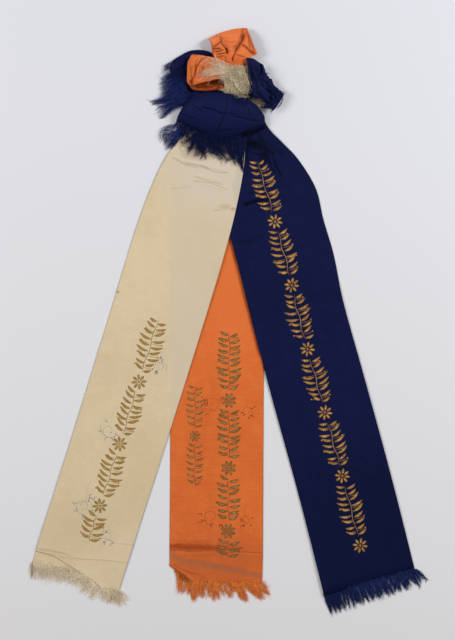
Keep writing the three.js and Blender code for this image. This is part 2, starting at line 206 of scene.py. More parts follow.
# The weave and its wear, in metres. A scale is of a noise.
RIB_PITCH = 0.0009
RIB_SHARE = 0.35
SLUB_STRETCH = (22, 700, 1)
RIM_WIDTH = 0.0016
MARK_SCALE = 110
MARK_GRAIN = 0.9


def silk_rib_group():
    """Fine ribs across the ribbon, with uneven weft threads, from the cloth's map in metres."""
    group, given, out = new_group("silk_ribs", [("Cloth", "NodeSocketVector", (0, 0, 0))], ["Height", "Slub"])
    _, along = split_vector(group, given["Cloth"])
    turns = calculate(group, "DIVIDE", along, RIB_PITCH)
    rib = calculate(group, "SINE", calculate(group, "MULTIPLY", turns, 2 * math.pi))
    stretched = group.nodes.new("ShaderNodeMapping")
    stretched.inputs["Scale"].default_value = SLUB_STRETCH
    group.links.new(given["Cloth"], stretched.inputs["Vector"])
    slub = noise_value(group, stretched.outputs[0], 1.0, detail=2.0)
    height = calculate(group, "ADD", calculate(group, "MULTIPLY", rib, RIB_SHARE), slub)
    group.links.new(height, out["Height"])
    group.links.new(slub, out["Slub"])
    return group


def ribbon_edge_group():
    """A mask of a ribbon's two long edges, from the cloth's map."""
    group, given, out = new_group("ribbon_edges", [("Cloth", "NodeSocketVector", (0, 0, 0))], ["Mask"])
    across, _ = split_vector(group, given["Cloth"])
    inside = calculate(group, "SUBTRACT", RIBBON_WIDTH / 2 * MM, calculate(group, "ABSOLUTE", across))
    near = calculate(group, "SUBTRACT", 1.0, calculate(group, "DIVIDE", inside, RIM_WIDTH))
    group.links.new(share_of(group, near, 0, 1), out["Mask"])
    return group


def mark_group():
    """A round or oval mark with an uneven border. Reach is one over its radii, in metres."""
    group, given, out = new_group(
        "mark",
        [
            ("Place", "NodeSocketVector", (0, 0, 0)),
            ("Centre", "NodeSocketVector", (0, 0, 0)),
            ("Reach", "NodeSocketVector", (100, 100, 0)),
        ],
        ["Mask"],
    )
    offset = combine(group, "SUBTRACT", given["Place"], given["Centre"])
    scaled = combine(group, "MULTIPLY", offset, given["Reach"])
    length = combine(group, "LENGTH", scaled, None, "Value")
    grain = calculate(group, "MULTIPLY", noise_value(group, given["Place"], MARK_SCALE, detail=4), MARK_GRAIN)
    border = calculate(group, "ADD", length, grain)
    group.links.new(share_of(group, calculate(group, "SUBTRACT", 1.6, border), 0, 0.7), out["Mask"])
    return group


def crease_line_group():
    """A soft line along a straight stretch. Along is the stretch over its length squared."""
    group, given, out = new_group(
        "crease_line",
        [
            ("Place", "NodeSocketVector", (0, 0, 0)),
            ("Start", "NodeSocketVector", (0, 0, 0)),
            ("Stretch", "NodeSocketVector", (0.01, 0, 0)),
            ("Along", "NodeSocketVector", (100, 0, 0)),
            ("Width", "NodeSocketFloat", 0.001),
        ],
        ["Mask"],
    )
    offset = combine(group, "MULTIPLY", combine(group, "SUBTRACT", given["Place"], given["Start"]), (1, 1, 0))
    share = share_of(group, combine(group, "DOT_PRODUCT", offset, given["Along"], "Value"), 0, 1)
    nearest = combine(group, "MULTIPLY", given["Stretch"], share)
    gap = combine(group, "LENGTH", combine(group, "SUBTRACT", offset, nearest), None, "Value")
    group.links.new(share_of(group, calculate(group, "DIVIDE", gap, given["Width"]), 1, 0), out["Mask"])
    return group


RIBS = silk_rib_group()
EDGES = ribbon_edge_group()
MARK = mark_group()
CREASE = crease_line_group()


# Materials. Colours are linear. Scales are of a noise, and lengths are in metres.
WAVER_SCALE = 28
WAVER = 0.008
CLOUD_SCALE = 7
SPECKLE_SCALE = 60
GRAIN_SCALE = 420
RIB_DEPTH = 0.0002
HATCH_PITCH = 0.0028
WEAR_SCALE = 160


def table_paper():
    material, tree, shader = new_material("table_paper")
    place = tree.nodes.new("ShaderNodeTexCoord").outputs["Object"]
    _, up = split_vector(tree, place)
    # Painted light: the floor is tinted pinker towards the bottom and bluer towards the top, as the light
    # falls across it.
    tint = blend(tree, share_of(tree, up, -0.5, 0.5), (0.725, 0.712, 0.715), (0.70, 0.705, 0.74))
    tree.links.new(tint, shader.inputs["Base Color"])
    shader.inputs["Roughness"].default_value = 0.9
    shader.inputs["Specular IOR Level"].default_value = 0.2
    return material


def add_marks(tree, place, shade, marks):
    for centre, radii, strength, tint in marks:
        reach = (1000 / radii[0], 1000 / radii[1], 0)
        mark = use_group(tree, MARK, Place=place, Centre=place_of(*centre), Reach=reach)["Mask"]
        shade = blend(tree, calculate(tree, "MULTIPLY", mark, strength), shade, tint)
    return shade


def add_lines(tree, place, shade, lines):
    waver = calculate(tree, "SUBTRACT", noise_value(tree, place, WAVER_SCALE, detail=2), 0.5)
    place = combine(tree, "ADD", place, calculate(tree, "MULTIPLY", waver, WAVER))
    for points, width, strength, tint in lines:
        mask = None
        for first, second in zip(points[:-1], points[1:]):
            start, stretch = Vector(place_of(*first)), Vector(place_of(*second)) - Vector(place_of(*first))
            along = stretch / stretch.length_squared
            piece = use_group(
                tree, CREASE, Place=place, Start=start, Stretch=stretch, Along=along, Width=width * MM
            )
            mask = piece["Mask"] if mask is None else calculate(tree, "MAXIMUM", mask, piece["Mask"])
        shade = blend(tree, calculate(tree, "MULTIPLY", mask, strength), shade, tint)
    return shade


def silk(name, colour, dark, light, fold, shine, marks=(), edge=None, streaks=0.3, lines=(), through=None):
    """Ribbed silk. Ageing clouds the colour between a darker and a lighter tone, and the hollows of folds are
    painted darker, towards the fold colour, as shade.
    Marks are rows of centre, radii, strength and colour, and lines are rows of points, half width, strength
    and colour. through is where the left edge of a ribbon underneath shows through it, how strongly and in
    which colour."""
    material, tree, shader = new_material(name)
    coordinates = tree.nodes.new("ShaderNodeTexCoord")
    place, cloth = coordinates.outputs["Object"], coordinates.outputs["UV"]
    ribs = use_group(tree, RIBS, Cloth=cloth)
    cloudy = noise_value(tree, place, CLOUD_SCALE, detail=4, roughness=0.6)
    speckle = noise_value(tree, place, SPECKLE_SCALE, detail=3)
    shade = blend(tree, share_of(tree, cloudy, 0.3, 0.62), dark, colour)
    shade = blend(tree, calculate(tree, "MULTIPLY", share_of(tree, speckle, 0.45, 0.8), 0.5), shade, light)
    slub = share_of(tree, ribs["Slub"], 0.35, 0.65)
    shade = blend(tree, calculate(tree, "MULTIPLY", slub, streaks), shade, light)
    grain = share_of(tree, noise_value(tree, place, GRAIN_SCALE, detail=2), 0.42, 0.62)
    shade = blend(tree, calculate(tree, "MULTIPLY", grain, streaks), shade, dark)
    if edge:
        rim = use_group(tree, EDGES, Cloth=cloth)["Mask"]
        shade = blend(tree, calculate(tree, "MULTIPLY", rim, 0.5), shade, edge)
    if through:
        left, strength, tint = through
        across, _ = split_vector(tree, place)
        covered = share_of(tree, across, place_of(left - 1, 0)[0], place_of(left + 1, 0)[0])
        shade = blend(tree, calculate(tree, "MULTIPLY", covered, strength), shade, tint)
    shade = add_lines(tree, place, add_marks(tree, place, shade, marks), lines)
    # Painted shade: the hollow attribute darkens folds and recesses towards the fold colour.
    depth = calculate(tree, "MULTIPLY", attribute(tree, "hollow"), 0.85)
    shade = blend(tree, depth, shade, fold)
    tree.links.new(shade, shader.inputs["Base Color"])
    bump = tree.nodes.new("ShaderNodeBump")
    bump.inputs["Strength"].default_value = 0.3
    bump.inputs["Distance"].default_value = RIB_DEPTH
    tree.links.new(ribs["Height"], bump.inputs["Height"])
    tree.links.new(bump.outputs["Normal"], shader.inputs["Normal"])
    shader.inputs["Roughness"].default_value = 0.55
    shader.inputs["Specular IOR Level"].default_value = shine
    shader.inputs["Sheen Weight"].default_value = 0.03
    shader.inputs["Sheen Roughness"].default_value = 0.4
    shader.inputs["Sheen Tint"].default_value = (*light, 1)
    return material


def floss(name, dark, light, shine, marks=(), fineness=260):
    """Loose silk threads, darker and lighter by lock. Marks are rows as for silk."""
    material, tree, shader = new_material(name)
    place = tree.nodes.new("ShaderNodeTexCoord").outputs["Object"]
    locks = share_of(tree, noise_value(tree, place, fineness, detail=3), 0.35, 0.65)
    tone = calculate(tree, "ADD", locks, calculate(tree, "MULTIPLY", attribute(tree, "tone"), 1.4))
    shade = blend(tree, share_of(tree, tone, 0.2, 2.2), dark, light)
    shade = add_marks(tree, place, shade, marks)
    tree.links.new(shade, shader.inputs["Base Color"])
    shader.inputs["Roughness"].default_value = 0.6
    shader.inputs["Specular IOR Level"].default_value = shine
    return material


def gilding(name, bright, dull, outline, shine):
    """Brushed gilding in fine hatching, worn in places, with a darker outline."""
    material, tree, shader = new_material(name)
    coordinates = tree.nodes.new("ShaderNodeTexCoord")
    across, along = split_vector(tree, coordinates.outputs["UV"])
    hatch = calculate(tree, "SINE", calculate(tree, "MULTIPLY", along, 2 * math.pi / HATCH_PITCH))
    wear = noise_value(tree, coordinates.outputs["Object"], WEAR_SCALE, detail=3)
    lit = share_of(tree, calculate(tree, "ADD", calculate(tree, "MULTIPLY", hatch, 0.12), wear), 0.38, 0.62)
    shade = blend(tree, lit, dull, bright)
    # Painted highlight and shade: each stroke stays bright at its middle and is dulled towards its ends, from
    # the lit attribute.
    shade = blend(tree, share_of(tree, attribute(tree, "lit"), 0.95, 0.3), shade, dull)
    rim = share_of(tree, calculate(tree, "ABSOLUTE", across), 0.62, 0.8)
    shade = blend(tree, rim, shade, outline)
    tree.links.new(shade, shader.inputs["Base Color"])
    shader.inputs["Roughness"].default_value = 0.5
    shader.inputs["Specular IOR Level"].default_value = shine
    return material


CREAM_SILK = silk(
    "cream_silk",
    (0.665, 0.535, 0.345),
    (0.60, 0.465, 0.275),
    (0.71, 0.60, 0.41),
    # fold: the colour that fold hollows are painted towards, as shade.
    fold=(0.33, 0.225, 0.11),
    shine=0.25,
    edge=(0.42, 0.32, 0.18),
    through=(-89, 0.45, (0.60, 0.49, 0.35)),
    marks=[
        ((-14, 238), (100, 80), 0.75, (0.615, 0.535, 0.425)),
        ((-60, -20), (42, 130), 0.4, (0.60, 0.51, 0.38)),
        ((-135, -225), (62, 70), 0.5, (0.61, 0.46, 0.26)),
        ((-160, -300), (62, 50), 0.4, (0.56, 0.44, 0.26)),
        ((-200, -150), (30, 40), 0.3, (0.66, 0.55, 0.33)),
        ((-2, 182), (11, 5), 0.6, (0.47, 0.39, 0.19)),
        ((11, 178), (6, 3), 0.7, (0.36, 0.31, 0.15)),
        ((-14, 176.5), (9, 1.8), 0.55, (0.47, 0.39, 0.20)),
        ((10.5, 217), (1.8, 8), 0.5, (0.50, 0.42, 0.22)),
        ((20, 212), (10, 34), 0.7, (0.51, 0.46, 0.36)),
        # Painted shadow: the next three marks darken the cream under the navy wrap's fringe.
        ((-26, 282), (50, 19), 0.85, (0.12, 0.075, 0.052)),
        ((-44, 266), (32, 10), 0.5, (0.30, 0.22, 0.155)),
        ((14, 266), (16, 18), 0.7, (0.17, 0.12, 0.085)),
        ((-173.6, 45.6), (1.5, 1.5), 0.9, (0.12, 0.06, 0.02)),
        ((-250, -335), (70, 60), 0.35, (0.54, 0.42, 0.25)),
    ],
    lines=[
        # Painted shade: these lines darken the cream along its creases and along the folds at its tucked end.
        ([(-86, 260), (-68, 250), (-48, 243)], 1.0, 0.6, (0.32, 0.22, 0.11)),
        ([(-65, 251), (-28, 242.5)], 2.2, 0.45, (0.34, 0.25, 0.17)),
        ([(-42, 248.5), (-16, 239), (3, 236.5)], 1.6, 0.5, (0.33, 0.25, 0.16)),
        ([(-50, 230.5), (-40, 226), (-6, 218)], 1.1, 0.65, (0.40, 0.25, 0.10)),
        ([(-52, 222.5), (-26, 220.5), (2, 209)], 1.2, 0.7, (0.38, 0.25, 0.11)),
        ([(-88, 212), (-57, 214)], 1.8, 0.35, (0.42, 0.33, 0.21)),
        ([(-298, -366), (-250, -376.5)], 1.7, 0.5, (0.40, 0.26, 0.11)),
        ([(-270, -379), (-148, -387)], 0.9, 0.55, (0.34, 0.24, 0.12)),
        ([(-183, -354.4), (-146, -361)], 1.0, 0.5, (0.36, 0.25, 0.12)),
        ([(-308, -368.4), (-275, -376.6)], 0.9, 0.5, (0.32, 0.20, 0.09)),
    ],
)
ORANGE_SILK = silk(
    "orange_silk",
    (0.68, 0.144, 0.026),
    (0.60, 0.112, 0.019),
    (0.77, 0.195, 0.046),
    # fold: the colour that fold hollows are painted towards, as shade.
    fold=(0.15, 0.022, 0.003),
    shine=0.14,
    edge=(0.30, 0.07, 0.02),
    marks=[
        ((10, 60), (70, 130), 0.6, (0.74, 0.175, 0.042)),
        # Painted light on the top loop: the next mark is a painted sheen on its left flap, and the two after
        # it are painted shade beside its right fold and on its right wing's outer edge.
        ((-22, 450), (8, 9), 0.6, (0.84, 0.25, 0.10)),
        ((23, 452), (6, 18), 0.5, (0.60, 0.125, 0.028)),
        ((48, 432), (12, 7), 0.5, (0.55, 0.12, 0.03)),
        ((5, 425), (60, 60), 0.75, (0.80, 0.205, 0.062)),
        ((-40, 400), (40, 30), 0.6, (0.76, 0.19, 0.05)),
        ((-16, -395), (100, 62), 0.5, (0.42, 0.088, 0.022)),
        ((-58, -362), (44, 7), 0.65, (0.34, 0.054, 0.007)),
        ((-6, -364), (34, 6), 0.5, (0.37, 0.062, 0.010)),
        ((8, 414), (30, 13), 0.6, (0.60, 0.112, 0.022)),
        # Painted shade inside the side loop's mouth.
        ((-34, 371.5), (34, 4.5), 0.8, (0.36, 0.052, 0.008)),
    ],
    lines=[
        # Painted shadow of the navy tail's left edge on the orange.
        ([(7.4, 132.8), (55, -53)], 7, 1.0, (0.38, 0.056, 0.003)),
        ([(-92, -361), (-4, -365)], 6.5, 0.75, (0.31, 0.045, 0.006)),
        ([(-92, -361), (-74, -358.5)], 1.1, 0.5, (0.20, 0.03, 0.005)),
        ([(-92, -367), (-40, -368.5)], 1.1, 0.5, (0.22, 0.036, 0.007)),
        ([(18, -369.5), (60, -372)], 1.3, 0.6, (0.25, 0.04, 0.008)),
        ([(-90, -374), (-72, -385), (-18, -393)], 9, 0.55, (0.32, 0.125, 0.06)),
        ([(-18, -393), (60, -409)], 7, 0.6, (0.31, 0.12, 0.06)),
        ([(-84, -391), (-72, -398.5), (-52, -406)], 1.3, 0.75, (0.20, 0.025, 0.004)),
        ([(-52, -406), (-34, -412)], 1.0, 0.35, (0.22, 0.028, 0.004)),
        ([(-46, -418), (57, -418)], 1.8, 0.6, (0.22, 0.035, 0.006)),
        # Painted shade: the lines from here on darken the top loop's right fold and fine wrinkles, the side
        # loop's mouth corner and its creases.
        ([(31, 466), (36, 447), (43, 431)], 2.0, 0.7, (0.34, 0.052, 0.009)),
        ([(27, 466), (23, 452)], 3.4, 0.75, (0.28, 0.042, 0.008)),
        ([(-4, 449), (22, 452)], 1.0, 0.4, (0.50, 0.09, 0.018)),
        ([(-2, 444), (22, 443)], 0.9, 0.35, (0.50, 0.09, 0.018)),
        ([(-3, 438.5), (18, 439)], 1.1, 0.45, (0.46, 0.08, 0.016)),
        ([(2, 457), (28, 461)], 1.2, 0.35, (0.52, 0.10, 0.02)),
        ([(-59, 382), (-54, 376)], 2.4, 0.8, (0.18, 0.028, 0.005)),
        ([(-57.6, 416), (-60.5, 402), (-58, 385)], 1.0, 0.4, (0.38, 0.06, 0.012)),
        ([(-50.4, 415), (-55, 398), (-52, 382)], 1.0, 0.4, (0.40, 0.065, 0.013)),
        ([(-42, 406), (-47, 389)], 1.0, 0.35, (0.42, 0.07, 0.014)),
    ],
)
NAVY_SILK = silk(
    "navy_silk",
    (0.0056, 0.0080, 0.045),
    (0.0042, 0.0062, 0.034),
    (0.0080, 0.0115, 0.060),
    # fold: the colour that fold hollows are painted towards, as shade.
    fold=(0.0015, 0.0018, 0.006),
    shine=0.04,
    marks=[
        ((235, -350), (160, 170), 0.7, (0.0036, 0.0058, 0.031)),
        ((-22, 318), (68, 42), 0.85, (0.0074, 0.0108, 0.060)),
        ((58, 372), (28, 38), 0.6, (0.0080, 0.0112, 0.056)),
        # Painted shadow: the next three marks darken the tail under its pleat.
        ((44, 282), (20, 9), 0.75, (0.0022, 0.0026, 0.011)),
        ((60, 263), (9, 14), 0.7, (0.0022, 0.0026, 0.011)),
        ((34, 264), (10, 14), 0.4, (0.0030, 0.0038, 0.018)),
    ],
    lines=[
        # Painted shade: the first line is the wrap's shadow on the tail, the next four darken the tail under
        # its pleat, and the last two darken a crease.
        ([(28, 297), (44, 302), (60, 310)], 5.5, 0.95, (0.0013, 0.0016, 0.006)),
        ([(30, 284), (48, 283), (66, 268)], 4.5, 0.85, (0.0014, 0.0018, 0.007)),
        ([(52, 292), (74, 266)], 4.0, 0.8, (0.0014, 0.0018, 0.007)),
        ([(74, 258), (88, 232)], 3.0, 0.85, (0.0014, 0.0018, 0.007)),
        ([(40, 268), (62, 262), (78, 236)], 3.0, 0.7, (0.0014, 0.0018, 0.007)),
        ([(30, 186), (46, 191), (62, 194)], 5.5, 1.0, (0.0012, 0.0015, 0.005)),
        ([(62, 195), (92, 200)], 1.4, 0.5, (0.002, 0.0025, 0.012)),
    ],
)
NAVY_FLOSS = floss(
    "navy_floss", (0.0045, 0.0075, 0.042), (0.024, 0.044, 0.185), 0.06,
    marks=[((172, -448), (44, 24), 0.6, (0.006, 0.010, 0.052))],
)
DARK_FLOSS = floss(
    "dark_navy_floss", (0.0030, 0.0042, 0.021), (0.010, 0.0165, 0.078), 0.05,
    marks=[
        ((-88, 298), (16, 22), 0.8, (0.021, 0.038, 0.17)),
        ((22, 262), (12, 26), 0.5, (0.006, 0.011, 0.065)),
    ],
)
BLUE_FLOSS = floss(
    "blue_floss", (0.0042, 0.0075, 0.043), (0.033, 0.058, 0.26), 0.06,
    marks=[
        # Painted shadow: the next two marks darken the left end's threads where the side loop shades them.
        ((-70, 404), (26, 26), 0.9, (0.0045, 0.0062, 0.030)),
        ((-58, 378), (12, 30), 0.7, (0.0045, 0.0065, 0.032)),
        ((64, 372), (34, 48), 0.7, (0.006, 0.009, 0.045)),
    ],
)
ORANGE_FLOSS = floss("orange_floss", (0.64, 0.14, 0.02), (0.92, 0.32, 0.075), 0.08)
CREAM_FLOSS = floss(
    "cream_floss", (0.72, 0.59, 0.41), (0.95, 0.84, 0.65), 0.15, fineness=300,
    marks=[
        ((-274, -400), (52, 8), 0.3, (0.56, 0.44, 0.26)),
        ((-311, -400), (3, 22), 0.6, (0.34, 0.26, 0.14)),
        ((-178, -438), (14, 18), 0.35, (0.56, 0.44, 0.25)),
    ],
)
PALE_FLOSS = floss(
    "pale_floss", (0.15, 0.10, 0.050), (1.0, 0.86, 0.62), 0.15, fineness=420,
    marks=[
        # Painted shade: the next two marks darken the plume's lower part and lower right, where the right
        # navy loop shades it.
        ((34, 364), (10, 20), 0.4, (0.24, 0.17, 0.09)),
        ((20, 360), (18, 5), 0.5, (0.22, 0.165, 0.10)),
        ((16, 399), (6, 4), 0.4, (0.30, 0.22, 0.11)),
        ((50, 347), (20, 10), 0.3, (0.28, 0.24, 0.18)),
        ((-12, 396), (22, 18), 0.4, (0.98, 0.72, 0.50)),
        ((-36, 394), (22, 18), 0.45, (0.92, 0.56, 0.36)),
    ],
)
PLUME_GROUND = floss(
    "plume_ground", (0.42, 0.31, 0.18), (0.66, 0.52, 0.34), 0.1, fineness=700,
    marks=[
        # Painted shade where the right navy loop shades the plume.
        ((34, 364), (10, 20), 0.4, (0.20, 0.14, 0.075)),
        ((16, 399), (6, 4), 0.3, (0.30, 0.22, 0.11)),
    ],
)
GOLD_ON_CREAM = gilding(
    "gold_on_cream", (0.42, 0.255, 0.070), (0.27, 0.145, 0.030), (0.25, 0.165, 0.065), 0.2
)
GOLD_ON_ORANGE = gilding(
    "gold_on_orange", (0.37, 0.235, 0.070), (0.16, 0.085, 0.020), (0.075, 0.018, 0.004), 0.2
)
GOLD_ON_NAVY = gilding(
    "gold_on_navy", (0.56, 0.30, 0.065), (0.21, 0.095, 0.020), (0.07, 0.036, 0.016), 0.3
)
# A darker copy of the orange floss: painted shade for the threads under the orange tail's folded corner.
SHADED_ORANGE_FLOSS = floss("shaded_orange_floss", (0.26, 0.06, 0.01), (0.62, 0.18, 0.04), 0.1)
BLUE_INK = floss("blue_ink", (0.055, 0.085, 0.24), (0.25, 0.25, 0.29), 0.2)
BROWN_INK = floss("brown_ink", (0.045, 0.010, 0.004), (0.15, 0.034, 0.010), 0.2)


# Ribbon shapes
def guide(points, shares):
    """Points on a centripetal Catmull-Rom curve through a list of points, at each share of its way."""
    points = np.asarray(points, float)
    first, last = 2 * points[0] - points[1], 2 * points[-1] - points[-2]
    padded = np.vstack([first, points, last])
    position = np.clip(shares, 0, 1) * (len(points) - 1)
    start = np.minimum(position.astype(int), len(points) - 2)
    w = (position - start)[:, None]
    p0, p1, p2, p3 = (padded[start + k] for k in range(4))
    pairs = ((p0, p1), (p1, p2), (p2, p3))
    d0, d1, d2 = (np.maximum(((b - a) ** 2).sum(1), 1e-9)[:, None] ** 0.25 for a, b in pairs)
    leaving = ((p1 - p0) / d0 - (p2 - p0) / (d0 + d1) + (p2 - p1) / d1) * d1
    arriving = ((p2 - p1) / d1 - (p3 - p1) / (d1 + d2) + (p3 - p2) / d2) * d1
    square = 3 * (p2 - p1) - 2 * leaving - arriving
    cube = 2 * (p1 - p2) + leaving + arriving
    return p1 + leaving * w + square * w**2 + cube * w**3


def steps(*stretches):
    """Shares along a ribbon from rows of an end share and how many steps lead up to it."""
    shares, start = [np.zeros(1)], 0.0
    for end, count in stretches:
        shares.append(np.linspace(start, end, count + 1)[1:])
        start = end
    return np.concatenate(shares)


def ribbon_points(rows, along, across, fullness=2.0):
    """Points of a ribbon for shares along it and places across it, from -1 at its left edge to 1."""
    rows = [[*row, 0][:8] for row in rows]
    left = np.array([row[0:3] for row in rows], float)
    right = np.array([row[4:7] for row in rows], float)
    across_way = (right - left)[:, :2]
    across_way /= np.linalg.norm(across_way, axis=1)[:, None]
    bow = np.array([row[7] for row in rows], float)
    middle = (left + right) / 2
    middle[:, 0] -= across_way[:, 1] * bow
    middle[:, 1] += across_way[:, 0] * bow
    middle[:, 2] = [row[3] for row in rows]
    a, m, b = (guide(points, along)[:, None, :] for points in (left, middle, right))
    place = np.asarray(across)[None, :, None]
    belly = 1 - np.minimum(1, np.abs(place)) ** fullness
    return (a + b) / 2 + (b - a) * place / 2 + (m - (a + b) / 2) * belly


def surface_normals(points):
    normals = np.cross(np.gradient(points, axis=1), np.gradient(points, axis=0))
    return normals / np.maximum(np.linalg.norm(normals, axis=2), 1e-9)[:, :, None]


def cloth_lengths(points):
    """Distance along the middle of a ribbon's grid of points."""
    middle = points[:, points.shape[1] // 2, :]
    return np.concatenate([[0], np.cumsum(np.linalg.norm(np.diff(middle, axis=0), axis=1))])


# Folds and creases
def line_distance(x, y, line):
    """How far each point is from a line, on which side of it, and at which share of the way along."""
    best, side, share = np.full(x.shape, 1e9), np.ones(x.shape), np.zeros(x.shape)
    last = len(line) - 1
    for k, ((ax, ay), (bx, by)) in enumerate(zip(line[:-1], line[1:])):
        dx, dy = bx - ax, by - ay
        t = np.clip(((x - ax) * dx + (y - ay) * dy) / max(dx * dx + dy * dy, 1e-9), 0, 1)
        away = np.hypot(x - ax - t * dx, y - ay - t * dy)
        nearer = away < best
        best = np.where(nearer, away, best)
        side = np.where(nearer, np.where(dx * (y - ay) - dy * (x - ax) >= 0, 1, -1), side)
        share = np.where(nearer, (k + t) / last, share)
    return best, side, share


def fold_relief(x, y, folds):
    """The height that folds add, and how deep their hollows are, from 0 to 1. The depth is painted into the
    cloth's colour as shade.

    A crease is a ridge, or a groove where its height is negative, and a dip is a broad hollow with no dark
    line. A lap is a folded edge that stands up on the left of its line, with its height sinking back over
    its width."""
    height, hollow = np.zeros(x.shape), np.zeros(x.shape)
    for points, rise, width, kind in ((*fold, "crease")[:4] for fold in folds):
        line = guide(points, np.linspace(0, 1, 5 * len(points)))
        away, side, share = line_distance(x, y, line)
        fade = np.clip(np.minimum(share, 1 - share) * 7, 0, 1) ** 0.6
        if kind == "lap":
            behind = away * side
            edge = 1 / (1 + np.exp(np.clip(-behind / 0.3, -30, 30)))
            foot = np.exp(-(((behind + 0.9) / 0.9) ** 2))
            height += fade * rise * (edge * np.exp(-np.maximum(behind, 0) / width) - 0.25 * foot)
            hollow = np.maximum(hollow, fade * foot * min(1, rise / 3.5))
        elif kind == "dip":
            height += fade * rise * np.exp(-((away / width) ** 2))
            hollow = np.maximum(hollow, 0.6 * fade * np.exp(-((away / width) ** 2)) * min(1, -rise / 4))
        else:
            shape = np.exp(-((away / width) ** 1.4))
            height += fade * rise * shape
            if rise < 0:
                hollow = np.maximum(hollow, fade * shape * min(1, -rise / 2.2))
    return height, hollow


def ripple(x, y, seed, wavelength, count=7):
    """A smooth uneven surface, mostly between -1 and 1: waves of like length in seeded directions."""
    rng = random.Random(seed)
    total = np.zeros(x.shape)
    for _ in range(count):
        angle, phase = rng.uniform(0, 2 * math.pi), rng.uniform(0, 2 * math.pi)
        stretch = 2 * math.pi / (wavelength * rng.uniform(0.7, 1.4))
        total += np.sin((x * math.cos(angle) + y * math.sin(angle)) * stretch + phase)
    return total / math.sqrt(2 * count)


def crumple(x, y, seed, wavelength):
    """Stiff folds such as crushed silk keeps: flat facets that meet in sharp lines."""
    large = np.abs(ripple(x, y, seed, wavelength, 4))
    small = np.abs(ripple(x, y, seed + 1, wavelength * 0.55, 4))
    return large + 0.5 * small - 0.85


def pleat_offset(along, across, pleats):
    """How far a ribbon's pleats stand out, for a grid of places along and across it."""
    t, s = np.asarray(along)[:, None], np.asarray(across)[None, :]
    total = np.zeros((len(along), len(across)))
    for start, end, from_across, to_across, depth, width in pleats:
        share = (t - start) / (end - start)
        line = from_across + (to_across - from_across) * share
        total += depth * np.sqrt(np.sin(np.pi * np.clip(share, 0, 1))) * np.exp(-(((s - line) / width) ** 2))
    return total


# Cloth pieces
def grid_mesh(name, points, lengths, width, hollow=None):
    """A mesh through a grid of points in millimetres, with the cloth's own map in metres."""
    along, across = points.shape[0] - 1, points.shape[1] - 1
    bm = bmesh.new()
    bmesh.ops.create_grid(bm, x_segments=across, y_segments=along, size=1)
    cloth_map = bm.loops.layers.uv.new("cloth")
    # The hollow attribute holds how deep each point lies in a fold, which the silk paints as shade.
    depth = bm.verts.layers.float.new("hollow")
    placed = (points - CENTRE) * MM
    cell = {
        vert: (round((vert.co.y + 1) / 2 * along), round((vert.co.x + 1) / 2 * across)) for vert in bm.verts
    }
    for face in bm.faces:
        face.smooth = True
        for loop in face.loops:
            i, j = cell[loop.vert]
            loop[cloth_map].uv = ((j / across - 0.5) * width * MM, lengths[i] * MM)
    for vert, (i, j) in cell.items():
        vert.co = placed[i, j]
        if hollow is not None:
            vert[depth] = hollow[i, j]
    mesh = bpy.data.meshes.new(name)
    bm.to_mesh(mesh)
    bm.free()
    return mesh


def add_piece(name, mesh, material):
    piece = bpy.data.objects.new(name, mesh)
    bpy.context.scene.collection.objects.link(piece)
    mesh.materials.clear()
    mesh.materials.append(material)
    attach(piece, "root")
    return piece


def cloth_piece(name, points, material, hollow=None, start=0.0, thickness=SILK):
    mesh = grid_mesh(name, points, cloth_lengths(points) + start, RIBBON_WIDTH, hollow)
    piece = add_piece(name, mesh, material)
    solid = piece.modifiers.new("cloth_thickness", "SOLIDIFY")
    solid.thickness = thickness * MM
    solid.offset = 0
    return piece


# Tails. Columns: left edge x, y, z, middle z, right edge x, y, z. Heights are of the underside.
ORANGE_TAIL = [
    (-20, 343, 0, 0, 31, 343, 0),
    (-49, 305, 0, 0, 41, 305, 0),
    (-78, 241, 0, 0, 58, 241, 0),
    (-89, 153, 0, 0, 60, 153, 0),
    (-89, -15, 0, 0, 60, -15, 0),
    (-90, -207, 0, 0, 59, -207, 0),
    (-91, -383, 0, 0, 58, -383, 0),
    (-91, -420, 0, 0, 57, -420, 0),
]
NAVY_TAIL = [
    (-1, 334, LAYER, LAYER, 54, 334, LAYER),
    (4, 303, LAYER, LAYER, 68, 307, LAYER),
    (-4, 260, LAYER, LAYER, 92, 282, 1),
    (-9, 231, LAYER, LAYER, 113, 260, 0),
    (-9, 182, LAYER, LAYER, 143, 211, 0),
    (6, 133, 3.0, 1.8, 155, 162, 0),
    (24, 65, 3.6, 1.5, 171, 108, 0),
    (41, -4, 3.0, 0.6, 186, 34, 1.0),
    (71, -118, 1.6, 0, 217, -78, 1.2),
    (116, -282, 1.0, 0, 262, -243, 1.2),
    (156, -440, 3, 0, 302, -401, 0),
]
CREAM_TAIL = [
    (-23, 340, 3, 3, 30, 330, 3),
    (-49, 314, 3, 3, 30, 298, 3),
    (-90, 271, 2, 3, 28.5, 252, 3),
    (-116, 223, 0.8, 2.7, 17.4, 188, 3.4),
    (-142, 157, 0, 2.3, -1, 114, 3.2),
    (-185, 17, 0, 0.9, -44, -29, 2.0),
    (-254, -207, 0.5, 0, -115, -254, 0.5),
    (-298, -345, 1.0, 1.0, -160, -394, 0.9),
    (-305, -369, 1.0, 1.2, -172, -433, 0.3),
]
CREAM_CORNER = [
    (-301, -355, 0, 0, -190, -392, 0),
    (-311, -388, 0, 0, -196, -409, 0),
]
# How far the cream tail's end reaches past its last section. Columns: place across, millimetres.
CREAM_END = [(-1, 0), (-0.58, -5.5), (0, -0.6), (0.5, 4.5), (0.6, 8), (0.66, 8), (1, 0)]

